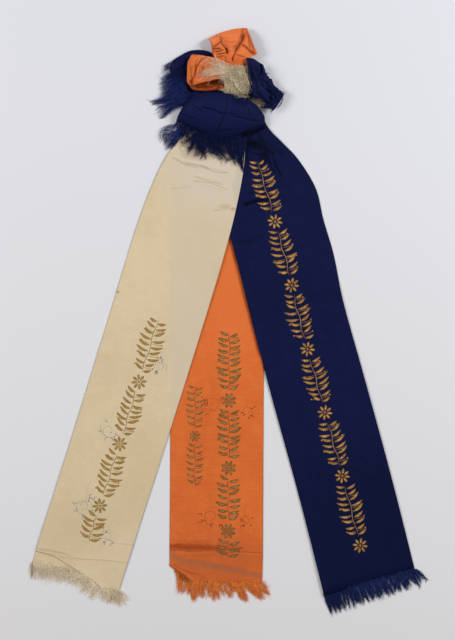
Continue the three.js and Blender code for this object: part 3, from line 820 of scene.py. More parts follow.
# Folds. Columns: points of the line, height, width, and the kind where it isn't a crease.
ORANGE_FOLDS = [
    ([(-92, -388), (-76, -399), (-60, -411), (-52, -418)], 1.5, 1.6),
    ([(-90, -349), (-60, -351), (-20, -350)], 0.6, 2.5),
    ([(-97, -372), (-62, -374), (-34, -373), (-16, -370)], 0.5, 2.0),
    ([(-62, -256), (0, -258), (59, -256)], -0.5, 1.6),
    ([(-90, -374), (-30, -386), (20, -395), (58, -405)], 0.6, 5.0),
    ([(-30, -420), (-24, -400), (-22, -380)], 0.4, 3.0),
    ([(8, -373), (30, -375), (64, -377)], 0.5, 2.0),
    ([(-62, -190), (-20, -192), (30, -189)], 0.3, 3.0),
]
NAVY_FOLDS = [
    ([(22, 306), (34, 294), (48, 281), (62, 264)], 1.6, 14, "lap"),
    ([(31, 199), (46, 195), (62, 186)], 1.4, 3.0),
    ([(14, 124), (38, 127), (66, 137)], -1.0, 2.0),
    ([(12, 130), (38, 133), (60, 141)], 0.9, 3.0),
    ([(46, 300), (66, 284), (92, 262)], -1.2, 2.5),
    ([(30, 270), (34, 250), (30, 225)], -0.6, 2.0),
    ([(28, 292), (42, 280), (58, 270)], -3.0, 5.0, "dip"),
    ([(40, 296), (54, 290), (66, 278)], 1.2, 3.0),
    ([(34, 272), (48, 272), (58, 262)], 1.0, 3.0),
    ([(26, 262), (38, 256), (52, 246)], -1.0, 1.8),
    ([(30, 205), (50, 200), (74, 190)], -0.9, 3.0),
    ([(6, 252), (30, 247), (58, 243)], 0.7, 3.5),
]
CREAM_FOLDS = [
    ([(-86, 263), (-66, 254), (-46, 250), (-24, 245), (0, 240)], 1.1, 2.6),
    ([(-50, 232), (-28, 227.5), (-6, 222)], 0.8, 2.2),
    ([(-50, 220), (-26, 217), (1, 206)], 0.7, 2.6),
    ([(-308, -362), (-286, -364), (-262, -371)], 0.5, 2.4),
    ([(-262, -377), (-226, -380), (-160, -384)], 0.35, 2.6),
    ([(-60, 8), (-46, 0), (-38, -20)], 0.3, 4.0),
]
# Where the cloth's map starts on the layer under the tuck.
UNDER_TUCK = 800
ORANGE_STEPS = steps((0.82, 50), (0.857, 46), (1, 44))
NAVY_STEPS = steps((0.1, 10), (0.52, 120), (1, 50))
CREAM_STEPS = steps((0.25, 26), (0.42, 60), (0.86, 40), (1, 60))
TAIL_WIDTH_STEPS = np.linspace(-1, 1, 93)


def lying_points(rows, along, across, folds, seed, sway=0.25, end=None):
    """A ribbon that lies on the table or on another ribbon, and how deep its hollows are."""
    points = ribbon_points(rows, along, across)
    if end:
        heading = points[-1].mean(0) - points[-12].mean(0)
        heading /= np.linalg.norm(heading)
        reach = np.interp(across, *zip(*end))
        ease = np.clip((along - 0.9) / 0.1, 0, 1) ** 2
        points += ease[:, None, None] * reach[None, :, None] * heading
    x, y = points[:, :, 0], points[:, :, 1]
    height, hollow = fold_relief(x, y, folds)
    waves = sway * (1 + ripple(x, y, seed, 90)) + 0.05 * ripple(x, y, seed + 5, 13)
    points[:, :, 2] = np.maximum(points[:, :, 2], 0) + SILK / 2 + np.maximum(0, waves + height)
    return points, hollow


def cut_corner(piece, first, second):
    """Cut away what lies outside a line from the first point to the second."""
    bm = bmesh.new()
    bm.from_mesh(piece.data)
    start, end = Vector(place_of(*first)), Vector(place_of(*second))
    outward = Vector((end.y - start.y, start.x - end.x, 0)).normalized()
    everything = [*bm.verts, *bm.edges, *bm.faces]
    bmesh.ops.bisect_plane(bm, geom=everything, plane_co=start, plane_no=outward, clear_outer=True)
    bm.to_mesh(piece.data)
    bm.free()


def orange_tail():
    points, hollow = lying_points(ORANGE_TAIL, ORANGE_STEPS, TAIL_WIDTH_STEPS, ORANGE_FOLDS, 11)
    piece = cloth_piece("orange_ribbon", points, ORANGE_SILK, hollow)
    cut_corner(piece, (-91, -393), (-54, -420))
    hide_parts("orange_tail")
    return piece, points


def navy_tail():
    points, hollow = lying_points(NAVY_TAIL, NAVY_STEPS, TAIL_WIDTH_STEPS, NAVY_FOLDS, 23)
    piece = cloth_piece("navy_ribbon", points, NAVY_SILK, hollow)
    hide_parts("navy_tail")
    return piece, points


def cream_tail():
    points, hollow = lying_points(CREAM_TAIL, CREAM_STEPS, TAIL_WIDTH_STEPS, CREAM_FOLDS, 37, end=CREAM_END)
    points[:, :, 2] -= 0.9 * np.clip((CREAM_STEPS - 0.994) / 0.006, 0, 1)[:, None] ** 2
    points[:, :, 2] = np.maximum(points[:, :, 2], 0.6 * SILK)
    piece = cloth_piece("cream_ribbon", points, CREAM_SILK, hollow)
    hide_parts("cream_tail")
    return piece, points


def cream_corner():
    points, hollow = lying_points(CREAM_CORNER, steps((1, 20)), np.linspace(-1, 1, 61), [], 41, sway=0.05)
    piece = cloth_piece("cream_ribbon_corner", points, CREAM_SILK, hollow, start=UNDER_TUCK)
    return piece, points


# Rosette. Heights are of the middle of the cloth, and a last column bows a section along the ribbon.
# GATHERED is half a gathered ribbon's width, and FACETS and WRINKLES are the lengths of its crumples.
GATHERED = 30
FACETS = 15
WRINKLES = 5
TOP_LOOP = [
    (4, 364, 9, 9, 18, 364, 9),
    (-3, 391, 7, 7, 28, 391, 7),
    (-22, 425, 5.2, 5.2, 39, 422, 5.2),
    (-25, 443, 5, 4.5, 41, 441, 5),
    (-28.5, 449, 9, 9, 33, 466.5, 9, 5),
    (-28, 447, 14, 17, 37, 456, 13, 4),
    (-23, 441, 16, 20, 43, 439, 14, 2),
    (-21, 436, 17, 21, 48.8, 426.4, 13.4),
    (-20.6, 434.4, 17.1, 21.1, 48.6, 424.9, 13.4),
    (-20.4, 432, 17.3, 21.3, 45, 423, 14.2),
    (-20, 429, 17.5, 21.5, 42, 421.5, 15),
    (-20, 421, 18, 22, 36, 417, 16.5),
    (-14, 407, 19, 20, 26, 407, 18.5),
    (4, 376, 19.5, 19.5, 21, 376, 19.5),
    (6, 365, 19, 19, 19, 365, 19),
]
SIDE_LOOP = [
    (-2, 406, 22.5, 23, -2, 387, 22.5),
    (-20, 417.5, 21.5, 25, -20, 383, 21),
    (-39, 422, 20, 25, -39, 378.5, 20),
    (-50, 423.5, 18.6, 22, -51, 375.5, 17.8),
    (-55, 423.5, 17.6, 20, -56.5, 374.5, 17),
    (-58.6, 417.5, 16, 18, -60.4, 376.8, 15.8),
    (-61.5, 412, 13, 14, -63, 381, 12.6),
    (-57, 414, 8.6, 8.6, -55, 369.5, 9.2),
    (-38, 414, 8.6, 8.6, -36, 366.5, 10),
    (-20, 407, 8.8, 8.8, 0, 369, 11),
]
RIGHT_LOOP = [
    (18, 332, 7, 7, 18, 358, 7),
    (41, 342, 5, 5, 38, 385, 5),
    (64, 339, 3.8, 4, 51, 401, 4),
    (81, 345, 5, 5.5, 59, 407, 6, 1),
    (92, 361, 10, 11, 57, 409, 10, 3),
    (74, 335, 13, 18, 51, 412, 15, 0),
    (66, 349, 19, 26, 42, 417, 21, 0),
    (43, 358, 24, 29, 31, 418, 25.5),
]
LEFT_END = [
    (-4, 346, 3.4, 3.4, -4, 376, 3.4),
    (-30, 345, 3.4, 3.4, -24, 427, 3.2),
    (-55, 343, 5, 5, -55, 432, 3.6),
    (-72, 342, 7, 12, -76, 422, 4),
    (-80, 345, 6, 9, -92, 412, 4),
]
WRAP = [
    (62, 310, 5.3, 8, 61, 326, 8),
    (46, 300, 5.3, 18, 49, 342, 15),
    (30, 292, 5.3, 28, 30, 354, 24),
    (-1, 291, 5.3, 32, 1, 361, 26),
    (-34, 298, 5.3, 31, -34, 363, 24),
    (-58, 308, 5.3, 24, -58, 353, 19),
    (-73, 315, 5.3, 15, -71, 338, 13),
    (-80, 318, 5.3, 9, -78, 326, 9),
]
# Pleats. Columns: from and to along the ribbon, from and to across it, depth, width across.
SIDE_LOOP_PLEATS = [(0.05, 0.5, -0.3, -0.5, -2.5, 0.22), (0.05, 0.5, 0.25, 0.35, -2, 0.22)]
RIGHT_LOOP_PLEATS = [(0.5, 0.98, -0.35, -0.1, -3, 0.25), (0.5, 0.98, 0.4, 0.5, -2.5, 0.2)]
LEFT_END_PLEATS = [(0.2, 1, 0.7, 0.45, 2.2, 0.22), (0.3, 1, -0.4, -0.2, -2.5, 0.25)]
# How far the left end has frayed away, for places across it.
LEFT_END_FRAY = [(-1, 4), (-0.5, 3), (-0.1, 7), (0.25, 6), (0.45, 1), (0.6, -3), (1, 0)]

TOP_LOOP_FOLDS = [
    ([(0, 422), (-1, 429), (-4, 434), (-8, 439), (-10, 446), (-11, 452), (-13, 466)], 3.6, 18, "lap"),
    ([(32, 474), (29, 455), (26, 446), (21, 437), (16, 429), (13, 422), (9, 411)], 4.0, 22, "lap"),
    ([(-9, 452), (-6, 443), (-1, 434)], -2.6, 4.5, "dip"),
    ([(28, 466), (26, 450), (19, 438), (12, 427)], -5.0, 4.5, "dip"),
    ([(-14, 459), (-10, 450), (-7, 441)], 1.6, 3.0),
    ([(-27, 446), (-20, 455), (-12, 461)], 1.2, 2.5),
    ([(-5, 446), (6, 443), (17, 445)], -0.9, 1.3),
    ([(-3, 440), (8, 438), (16, 440)], 0.8, 1.6),
    ([(-1, 452), (10, 450), (22, 452)], 0.7, 1.8),
    ([(2, 436), (9, 434), (15, 436)], -0.7, 1.2),
    ([(34, 466), (39, 452), (43, 438), (47, 428)], 1.6, 1.8),
    ([(36, 458), (40, 444), (44, 432)], -1.6, 1.3),
    ([(-20, 462), (-14, 463.5), (-10, 462)], -2.0, 1.6),
    ([(22, 445), (27, 440), (31, 434)], 1.4, 2.0),
    ([(20, 431), (28, 429), (38, 424)], 1.2, 1.8),
    ([(-18, 438), (-13, 436), (-8, 437)], 1.2, 1.5),
    ([(-19, 430.5), (-12, 430.5), (-5, 432.5)], 1.1, 1.2),
    ([(-15, 421), (-9, 422), (-4, 424)], 1.0, 1.2),
    ([(-1, 435), (0.6, 430), (0.5, 424)], -6.0, 2.4),
    ([(-8, 445), (-14, 440), (-21, 435)], -2.6, 1.5),
    ([(-22, 433), (-16, 432.6), (-8, 432)], -3.0, 1.5),
    ([(-20, 427.5), (-13, 428.2), (-4, 431)], -2.4, 1.3),
    ([(-17, 423.5), (-9, 424.6), (-1, 426)], -2.2, 1.2),
    ([(-17, 417.5), (-10, 419.5), (-4, 421)], -1.6, 1.2),
    ([(-5, 419), (-2.5, 419.6), (-0.5, 419.5)], -1.2, 1.0),
    ([(-1, 421), (-1.6, 416), (-2, 411)], -1.0, 1.0),
    ([(32, 461), (35, 452), (36, 440), (39, 431)], -1.5, 1.1),
    ([(23, 440), (31, 435), (39, 428), (46, 425)], -2.6, 2.2),
    ([(35, 430), (42, 425), (46, 424)], -2.0, 3.5, "dip"),
    ([(13, 424), (21, 421), (31, 419)], -1.5, 1.2),
    ([(3, 430), (8, 429), (13, 428)], -1.0, 1.1),
    ([(5, 426), (5, 418), (5, 410)], 1.6, 3.0),
    ([(9.5, 419), (10, 416), (9.5, 412)], -2.0, 1.2),
]
SIDE_LOOP_FOLDS = [
    ([(-30, 421), (-42, 412), (-48, 401), (-51, 384)], -2.4, 1.5),
    ([(-22, 416), (-34, 409), (-42, 399), (-46, 386)], -1.5, 1.2),
    ([(-44, 424), (-50, 422), (-55, 425)], -1.2, 1.2),
    ([(-30, 422), (-40, 419), (-50, 420)], 0.9, 1.6),
    ([(-34, 405), (-38, 399), (-41, 390)], -2.6, 1.4),
    ([(-57, 406), (-56, 396), (-55, 384)], -1.4, 1.2),
    ([(-60, 414), (-60, 402), (-59, 388)], 1.2, 1.5),
    ([(-58, 382), (-59, 379), (-61, 376)], -3.0, 1.3),
    ([(-54, 388), (-55, 381), (-57, 374)], -3.6, 1.8),
    ([(-36, 421), (-48, 413), (-54, 402)], 1.8, 2.0),
    ([(-52, 418), (-53, 404), (-52, 390)], 1.6, 1.6),
    ([(-46, 417), (-49, 408), (-50, 396)], -1.6, 1.1),
    ([(-38, 414), (-45, 404), (-48, 390)], 1.6, 1.5),
    ([(-27, 411), (-37, 403), (-43, 393)], 1.4, 1.4),
    ([(-24, 408), (-32, 402), (-37, 394)], -1.6, 1.2),
    ([(-50, 384), (-44, 380), (-36, 380)], 1.4, 1.8),
]
SIDE_LOOP_MOUTH = [
    ([(-54, 371.5), (-46, 369.8), (-36, 369.5)], 2.5, 1.7),
    ([(-31, 372), (-22, 370.2), (-14, 372.5)], 2.5, 1.9),
    ([(-11, 371.5), (-3, 370), (4, 373)], 2.3, 1.9),
    ([(-52, 371.5), (-40, 373), (-30, 374), (-24, 371)], -2.4, 1.5),
    ([(-34, 377), (-28, 375), (-22, 376.5)], 1.6, 1.6),
    ([(-28, 380), (-12, 382), (6, 385)], -2.2, 2.6),
    ([(-22, 372), (-12, 373.5), (6, 375)], 1.5, 1.8),
    ([(-44, 369.5), (-30, 369), (-14, 370)], 1.2, 1.2),
]
RIGHT_LOOP_FOLDS = [
    ([(52, 402), (58, 392), (62, 378)], 1.2, 2.5),
    ([(45, 408), (50, 390), (58, 372)], -1.6, 2.2),
    ([(66, 382), (74, 372), (86, 364)], 1.0, 2.0),
    ([(62, 372), (70, 364), (78, 356), (80, 344)], -1.8, 2.2),
    ([(40, 395), (46, 380), (50, 366)], -1.8, 2.0),
    ([(68, 360), (70, 350), (73, 340)], -2.0, 1.8),
    ([(76, 366), (84, 360), (86, 352)], -1.8, 1.6),
    ([(53, 410), (55, 400), (53, 388)], -2.4, 1.6),
    ([(56, 408), (60, 398), (62, 386)], 1.8, 2.4),
    ([(36, 412), (44, 404), (48, 392)], 1.6, 2.5),
    ([(38, 404), (41, 390), (40, 374)], -2.0, 2.0),
    ([(48, 376), (56, 366), (60, 354)], 1.8, 2.4),
    ([(54, 384), (62, 380), (70, 370)], -1.6, 1.6),
    ([(44, 368), (52, 358), (58, 350)], -2.0, 1.8),
    ([(72, 356), (78, 350), (80, 342)], 1.6, 1.8),
]
LEFT_END_FOLDS = [
    ([(-88, 408), (-72, 416), (-58, 424)], 1.4, 3.0),
    ([(-84, 398), (-70, 404), (-62, 414)], -1.6, 2.5),
    ([(-84, 350), (-66, 352), (-50, 349)], 1.2, 2.5),
    ([(-64, 404), (-63, 385), (-60, 365)], -2.0, 4.0, "dip"),
]
WRAP_FOLDS = [
    ([(-15, 302), (-10, 313), (-4, 327), (-1.6, 342), (-0.5, 362)], 2.6, 22, "lap"),
    ([(-40, 339), (-30, 336), (-20, 334), (-10, 329), (-3, 328)], -1.9, 1.3),
    ([(1, 329), (10, 328), (19, 327)], -1.3, 1.1),
    ([(3, 326), (22, 322), (35, 318.5), (58, 317.5)], -1.7, 1.3),
    ([(-17, 300), (-6, 302.5), (9, 304)], -1.6, 1.2),
    ([(9, 293), (26, 298), (38, 304), (51, 311)], -1.7, 1.3),
    ([(-73, 329.5), (-58, 323), (-43, 319)], -1.3, 1.2),
    ([(-56, 345), (-49, 338.5), (-37, 330)], -1.1, 1.2),
    ([(34, 340), (36, 330), (38, 321)], -1.2, 1.1),
    ([(-53, 310), (-42, 303), (-32, 295)], -1.0, 1.1),
    ([(-38, 304), (-30, 298), (-22, 293)], -1.0, 1.1),
    ([(-23, 358), (-28, 347), (-31, 339)], -0.8, 1.4),
    ([(6, 355), (20, 350), (34, 343)], -3.0, 9.0, "dip"),
]


def loop_points(
    rows, along, across, pleats, folds, visible, seed, crush, fullness, inner_folds, fray=(), inner_shade=0
):
    """A gathered ribbon that stands up. visible is the stretch along it that is seen from above, which has
    the folds. The rest has the inner folds, and inner_shade darkens what lies inside the loop. fray is how
    far its end has frayed away."""
    points = ribbon_points(rows, along, across, fullness)
    if fray:
        heading = points[-1].mean(0) - points[-9].mean(0)
        heading /= np.linalg.norm(heading)
        rng = random.Random(seed)
        reach = np.interp(across, *zip(*fray)) + np.array([abs(rng.gauss(0, 2.2)) for _ in across])
        points -= (np.clip((along - 0.75) / 0.25, 0, 1) ** 2)[:, None, None] * reach[None, :, None] * heading
    points = points + surface_normals(points) * pleat_offset(along, across, pleats)[:, :, None]
    normals = surface_normals(points)
    lengths = cloth_lengths(points)
    u, v = np.meshgrid(across * GATHERED, lengths)
    edge = np.minimum(1, 4 * (1 - np.abs(u) / GATHERED))
    height = (crush * crumple(u, v, seed, FACETS) + 0.2 * crush * ripple(u, v, seed + 3, WRINKLES)) * edge
    points = points + normals * height[:, :, None]
    low, high = visible
    seen = np.clip(np.minimum(along - low, high - along) * 25, 0, 1)[:, None]
    x, y = points[:, :, 0], points[:, :, 1]
    outer, outer_hollow = fold_relief(x, y, folds)
    inner, inner_hollow = fold_relief(x, y, inner_folds)
    # Painted shade inside the loop: inner_shade darkens it, the inner folds' hollows deepen it, and their
    # ridges lighten it.
    shaded = inner_shade * np.clip((along - 0.66) / 0.1, 0, 1)[:, None]
    inner_hollow = np.clip(shaded + inner_hollow * 0.6 - 0.34 * np.maximum(inner, 0), 0, 1)
    rise = seen * outer + (1 - seen) * inner
    points = points + rise[:, :, None] * np.array([0, 0, 1])
    points[:, :, 2] = np.maximum(points[:, :, 2], SILK)
    return points, np.maximum(seen * outer_hollow, (1 - seen) * inner_hollow)


def rosette_piece(
    name, node, rows, along, columns, material, folds, seed, crush, visible=(-1, 2), pleats=(),
    fullness=2.0, inner_folds=(), fray=(), inner_shade=0,
):
    """A piece of the rosette, with its cloth's points."""
    across = np.linspace(-1, 1, columns + 1)
    points, hollow = loop_points(
        rows, along, across, pleats, folds, visible, seed, crush, fullness, inner_folds, fray, inner_shade
    )
    piece = cloth_piece(name, points, material, hollow)
    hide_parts(node)
    return piece, points


def left_end():
    return rosette_piece(
        "navy_left_cloth", "left_navy_end", LEFT_END, steps((1, 66)), 60, NAVY_SILK,
        LEFT_END_FOLDS, pleats=LEFT_END_PLEATS, seed=51, crush=1.5, fray=LEFT_END_FRAY,
    )


def right_loop():
    return rosette_piece(
        "navy_right_cloth", "right_navy_loop", RIGHT_LOOP, steps((0.45, 30), (1, 100)), 54, NAVY_SILK,
        RIGHT_LOOP_FOLDS, visible=(0.54, 2), pleats=RIGHT_LOOP_PLEATS, seed=61, crush=1.5,
        fullness=2.4,
    )


def top_loop():
    return rosette_piece(
        "orange_top_cloth", "top_orange_loop", TOP_LOOP, steps((0.25, 10), (0.38, 20), (0.86, 124), (1, 6)),
        84, ORANGE_SILK, TOP_LOOP_FOLDS, visible=(0.33, 2), seed=71, crush=0.3,
    )


def side_loop():
    return rosette_piece(
        "orange_side_cloth", "side_orange_loop", SIDE_LOOP, steps((0.5, 80), (1, 50)), 62, ORANGE_SILK,
        SIDE_LOOP_FOLDS, visible=(-1, 0.55), pleats=SIDE_LOOP_PLEATS, seed=81, crush=0.6,
        fullness=2.4, inner_folds=SIDE_LOOP_MOUTH, inner_shade=0.97,
    )


def wrap():
    return rosette_piece(
        "navy_wrap_cloth", "navy_wrap", WRAP, steps((1, 132)), 64, NAVY_SILK, WRAP_FOLDS,
        seed=91, crush=0.25, fullness=2.6,
    )


KNOT_PLACE = (4, 343, 15)
KNOT_RADII = (29, 18, 12)
KNOT_UNDERSIDE = 4.6


def knot():
    """The gathered and stitched lump that the ribbons come out of, wrinkled along its length."""
    bm = bmesh.new()
    bmesh.ops.create_uvsphere(bm, u_segments=48, v_segments=24, radius=1)
    for vert in bm.verts:
        angle = math.atan2(vert.co.z, vert.co.y)
        wrinkle = 1 + 0.05 * math.sin(9 * angle) + 0.03 * math.sin(17 * angle + 2)
        x, y, z = (c * radius for c, radius in zip(vert.co, KNOT_RADII))
        lifted = max(KNOT_PLACE[2] + z * wrinkle, KNOT_UNDERSIDE)
        vert.co = place_of(KNOT_PLACE[0] + x, KNOT_PLACE[1] + y * wrinkle, lifted)
    for face in bm.faces:
        face.smooth = True
    bmesh.ops.recalc_face_normals(bm, faces=bm.faces)
    mesh = bpy.data.meshes.new("gathered_knot")
    bm.to_mesh(mesh)
    bm.free()
    piece = add_piece("gathered_knot", mesh, NAVY_SILK)
    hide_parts("knot")


# Threads
THREAD_SIDES = 4


def thread_piece(name, strands, material, node=None):
    """Many fine threads in one mesh, each with a tone of its own. A strand is a row of points in
    millimetres."""
    curve = bpy.data.curves.new(name, "CURVE")
    curve.dimensions = "3D"
    curve.bevel_depth = THREAD
    curve.bevel_resolution = 0
    curve.use_fill_caps = True
    for strand in strands:
        spline = curve.splines.new("POLY")
        spline.points.add(len(strand) - 1)
        placed = (np.asarray(strand) - CENTRE) * MM
        for k, (point, place) in enumerate(zip(spline.points, placed)):
            point.co = (*place, 1)
            point.radius = 1 - 0.5 * k / len(strand)
    carrier = bpy.data.objects.new(name, curve)
    bpy.context.scene.collection.objects.link(carrier)
    bpy.context.view_layer.update()
    mesh = bpy.data.meshes.new_from_object(carrier.evaluated_get(bpy.context.evaluated_depsgraph_get()))
    bpy.data.objects.remove(carrier)
    bpy.data.curves.remove(curve)
    # A bevelled curve's mesh has the end caps first, last strand first, and then the sides.
    tint = random.Random(len(strands))
    tones = np.array([tint.random() for _ in strands])
    caps = np.repeat(tones[::-1], 2 * THREAD_SIDES)
    sides = np.repeat(tones, [THREAD_SIDES * len(strand) for strand in strands])
    tone = mesh.attributes.new("tone", "FLOAT", "POINT")
    tone.data.foreach_set("value", np.concatenate([caps, sides]))
    piece = add_piece(name, mesh, material)
    if node:
        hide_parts(node)
    return piece


def lock(
    rng, line, width, count, reach=(0.65, 1.08), wave=1.5, gather=0.4, points=7, floor=0.3, turns=(0.3, 1.7)
):
    """Threads along a line of x, y, z points: spread over width at its root, drawn together at its tip, and
    each bent to and fro by wave, in millimetres."""
    share = np.linspace(0, 1, points)
    path = guide(line, share)
    way = np.gradient(path, axis=0)
    way /= np.linalg.norm(way, axis=1)[:, None]
    sideways = np.stack([-way[:, 1], way[:, 0], np.zeros(points)], axis=1)
    strands = []
    for _ in range(count):
        strand = path[0] + (path - path[0]) * rng.uniform(*reach)
        shift = np.array([rng.gauss(0, width / 2), rng.gauss(0, width / 2), rng.uniform(-0.8, 0.8)])
        strand = strand + shift * (1 - gather * share)[:, None]
        size, waves, phase = wave * rng.gauss(0, 1), rng.uniform(*turns), rng.uniform(0, 2 * math.pi)
        bend = size * (np.sin(2 * math.pi * waves * share + phase) - math.sin(phase)) * (0.3 + 0.7 * share)
        strand = strand + sideways * bend[:, None]
        strand[:, 2] = np.maximum(strand[:, 2] + rng.gauss(0, 0.5) * share, floor)
        strands.append(strand)
    return strands


def heading_line(root, degrees, length, bend, tip_height):
    """A bent line of three points from a root, in a direction given in degrees."""
    x, y, z = root
    angle, turned = math.radians(degrees - bend / 2), math.radians(degrees + bend / 2)
    half = length / 2
    middle = (x + half * math.cos(angle), y + half * math.sin(angle))
    tip = (middle[0] + half * math.cos(turned), middle[1] + half * math.sin(turned))
    return [root, (*middle, (z + tip_height) / 2), (*tip, tip_height)]


def end_fringe(
    rng, start, end, headings, locks, count, lengths, height=1.0, spread=9, bend=18, width=4.0,
    gather=(-0.2, 0.6), **looks,
):
    """Locks along a ribbon's end. headings are the directions at its start, near its end and at its end, and
    lengths are the threads' at its start and its end."""
    strands = []
    for k in range(locks):
        share = (k + rng.uniform(0.1, 0.9)) / locks
        root = (mix(start[0], end[0], share), mix(start[1], end[1], share), height)
        degrees = np.interp(share, (0, 0.85, 1), headings) + rng.gauss(0, spread)
        length = mix(*lengths, share) * rng.uniform(0.84, 1.1)
        line = heading_line(root, degrees, length, rng.gauss(0, bend), rng.uniform(0.4, 1.6))
        strands += lock(rng, line, width, count, gather=rng.uniform(*gather), **looks)
    return strands


# Locks listed one by one. Columns: points of the line, width, number of threads.
NAVY_END_LOCKS = [
    ([(299, -399, 1), (305, -398, 1.4), (313, -404, 1.4), (321, -416, 0.6)], 0.8, 12),
    ([(297, -400, 1), (307, -403, 1.2), (316, -410, 1), (318, -419, 0.6)], 1.5, 12),
    ([(292, -401, 1), (302, -409, 1.2), (309, -420, 1), (307, -428, 0.6)], 2, 12),
    ([(156, -437, 1), (160, -450, 1.2), (165, -463, 1), (168, -471, 0.6)], 2, 22),
    ([(162, -436, 1), (167, -450, 1.2), (173, -462, 1), (178, -468, 0.6)], 2, 16),
]
ORANGE_END_LOCKS = [
    ([(-52, -418, 1), (-55, -432, 1.2), (-53, -449, 0.6)], 4, 60),
    ([(-46, -418, 1), (-46, -432, 1.2), (-50, -446, 0.6)], 5, 50),
    ([(-38, -418, 1), (-40, -430, 1.2), (-37, -443, 0.6)], 6, 60),
    ([(-27, -418, 1), (-29, -430, 1.2), (-26, -442, 0.6)], 5, 50),
    ([(-17, -418, 1), (-21, -433, 1.2), (-20, -448, 0.6)], 3, 60),
    ([(-16, -418, 1), (-16, -432, 1.2), (-11, -446, 0.6)], 2.4, 36),
    ([(-6, -418, 1), (-9, -430, 1.2), (-3, -440, 0.6)], 4, 24),
    ([(-2, -430, 1), (3, -436, 1.2), (8, -443, 0.6)], 4, 30),
    ([(4, -418, 1), (8, -430, 1.2), (10, -442, 0.6)], 5, 26),
    ([(8, -418, 1), (20, -432, 1.2), (32, -448, 0.6)], 4, 80),
    ([(15, -418, 1), (20, -432, 1.2), (26, -446, 0.6)], 5, 60),
    ([(24, -418, 1), (27, -430, 1.2), (34, -446, 0.6)], 1.4, 20),
    ([(32, -418, 1), (42, -432, 1.2), (54, -445, 0.6)], 6, 70),
    ([(42, -418, 1), (50, -432, 1.2), (59, -445, 0.6)], 5, 60),
    ([(50, -418, 1), (58, -431, 1.2), (70, -439, 0.6)], 4, 50),
    ([(56, -420, 1), (62, -423, 1.2), (65, -432, 0.6)], 0.5, 10),
]
CREAM_END_LOCKS = [
    ([(-311, -388, 1.5), (-312.5, -402, 1.2), (-313, -414, 0.6)], 1.0, 30),
    ([(-309, -388, 1), (-310, -400, 1), (-307, -414, 0.6)], 2.4, 26),
]
CREAM_TIP_LOCKS = [
    ([(-178, -430, 1.5), (-168, -442, 1.2), (-160, -456, 0.6)], 1.6, 18),
    ([(-174, -431, 1.5), (-163, -438, 1.2), (-157, -449, 0.6)], 1.6, 14),
    ([(-184, -428, 1.5), (-175, -444, 1.2), (-169, -457, 0.6)], 2, 18),
    ([(-192, -426, 1.5), (-190, -438, 1.2), (-184, -450, 0.6)], 2.4, 18),
]
LEFT_LOCKS = [
    ([(-82, 408, 6), (-93, 411, 4), (-99, 405, 3), (-102, 397, 2)], 3, 26),
    ([(-84, 404, 6), (-91, 403, 4), (-96, 404, 3), (-98, 409, 2)], 3, 14),
    ([(-80, 394, 7), (-92, 390, 5), (-103, 384, 2)], 7, 50),
    ([(-80, 386, 7), (-94, 384, 5), (-107, 378, 2)], 8, 48),
    ([(-80, 378, 7), (-94, 375, 4), (-106, 369, 2)], 7, 50),
    ([(-78, 370, 7), (-92, 366, 4), (-105, 360, 2)], 7, 50),
    ([(-78, 364, 7), (-92, 358, 4), (-104, 356, 2)], 7, 50),
    ([(-76, 360, 6), (-94, 353, 3), (-108, 351, 2), (-122, 350, 1)], 5, 40),
    ([(-80, 356, 6), (-96, 350, 3), (-108, 348, 2), (-118, 346, 1)], 5, 30),
    ([(-76, 352, 6), (-90, 347, 3), (-102, 343, 2), (-112, 340, 1)], 6, 36),
    ([(-78, 350, 6), (-90, 345, 3), (-100, 337, 2), (-109, 331, 1)], 6, 30),
    ([(-70, 348, 6), (-82, 343, 4), (-93, 334, 2), (-104, 324, 1)], 2, 46),
    ([(-76, 346, 5), (-88, 341, 3), (-98, 332, 2), (-107, 327, 1)], 4, 24),
]
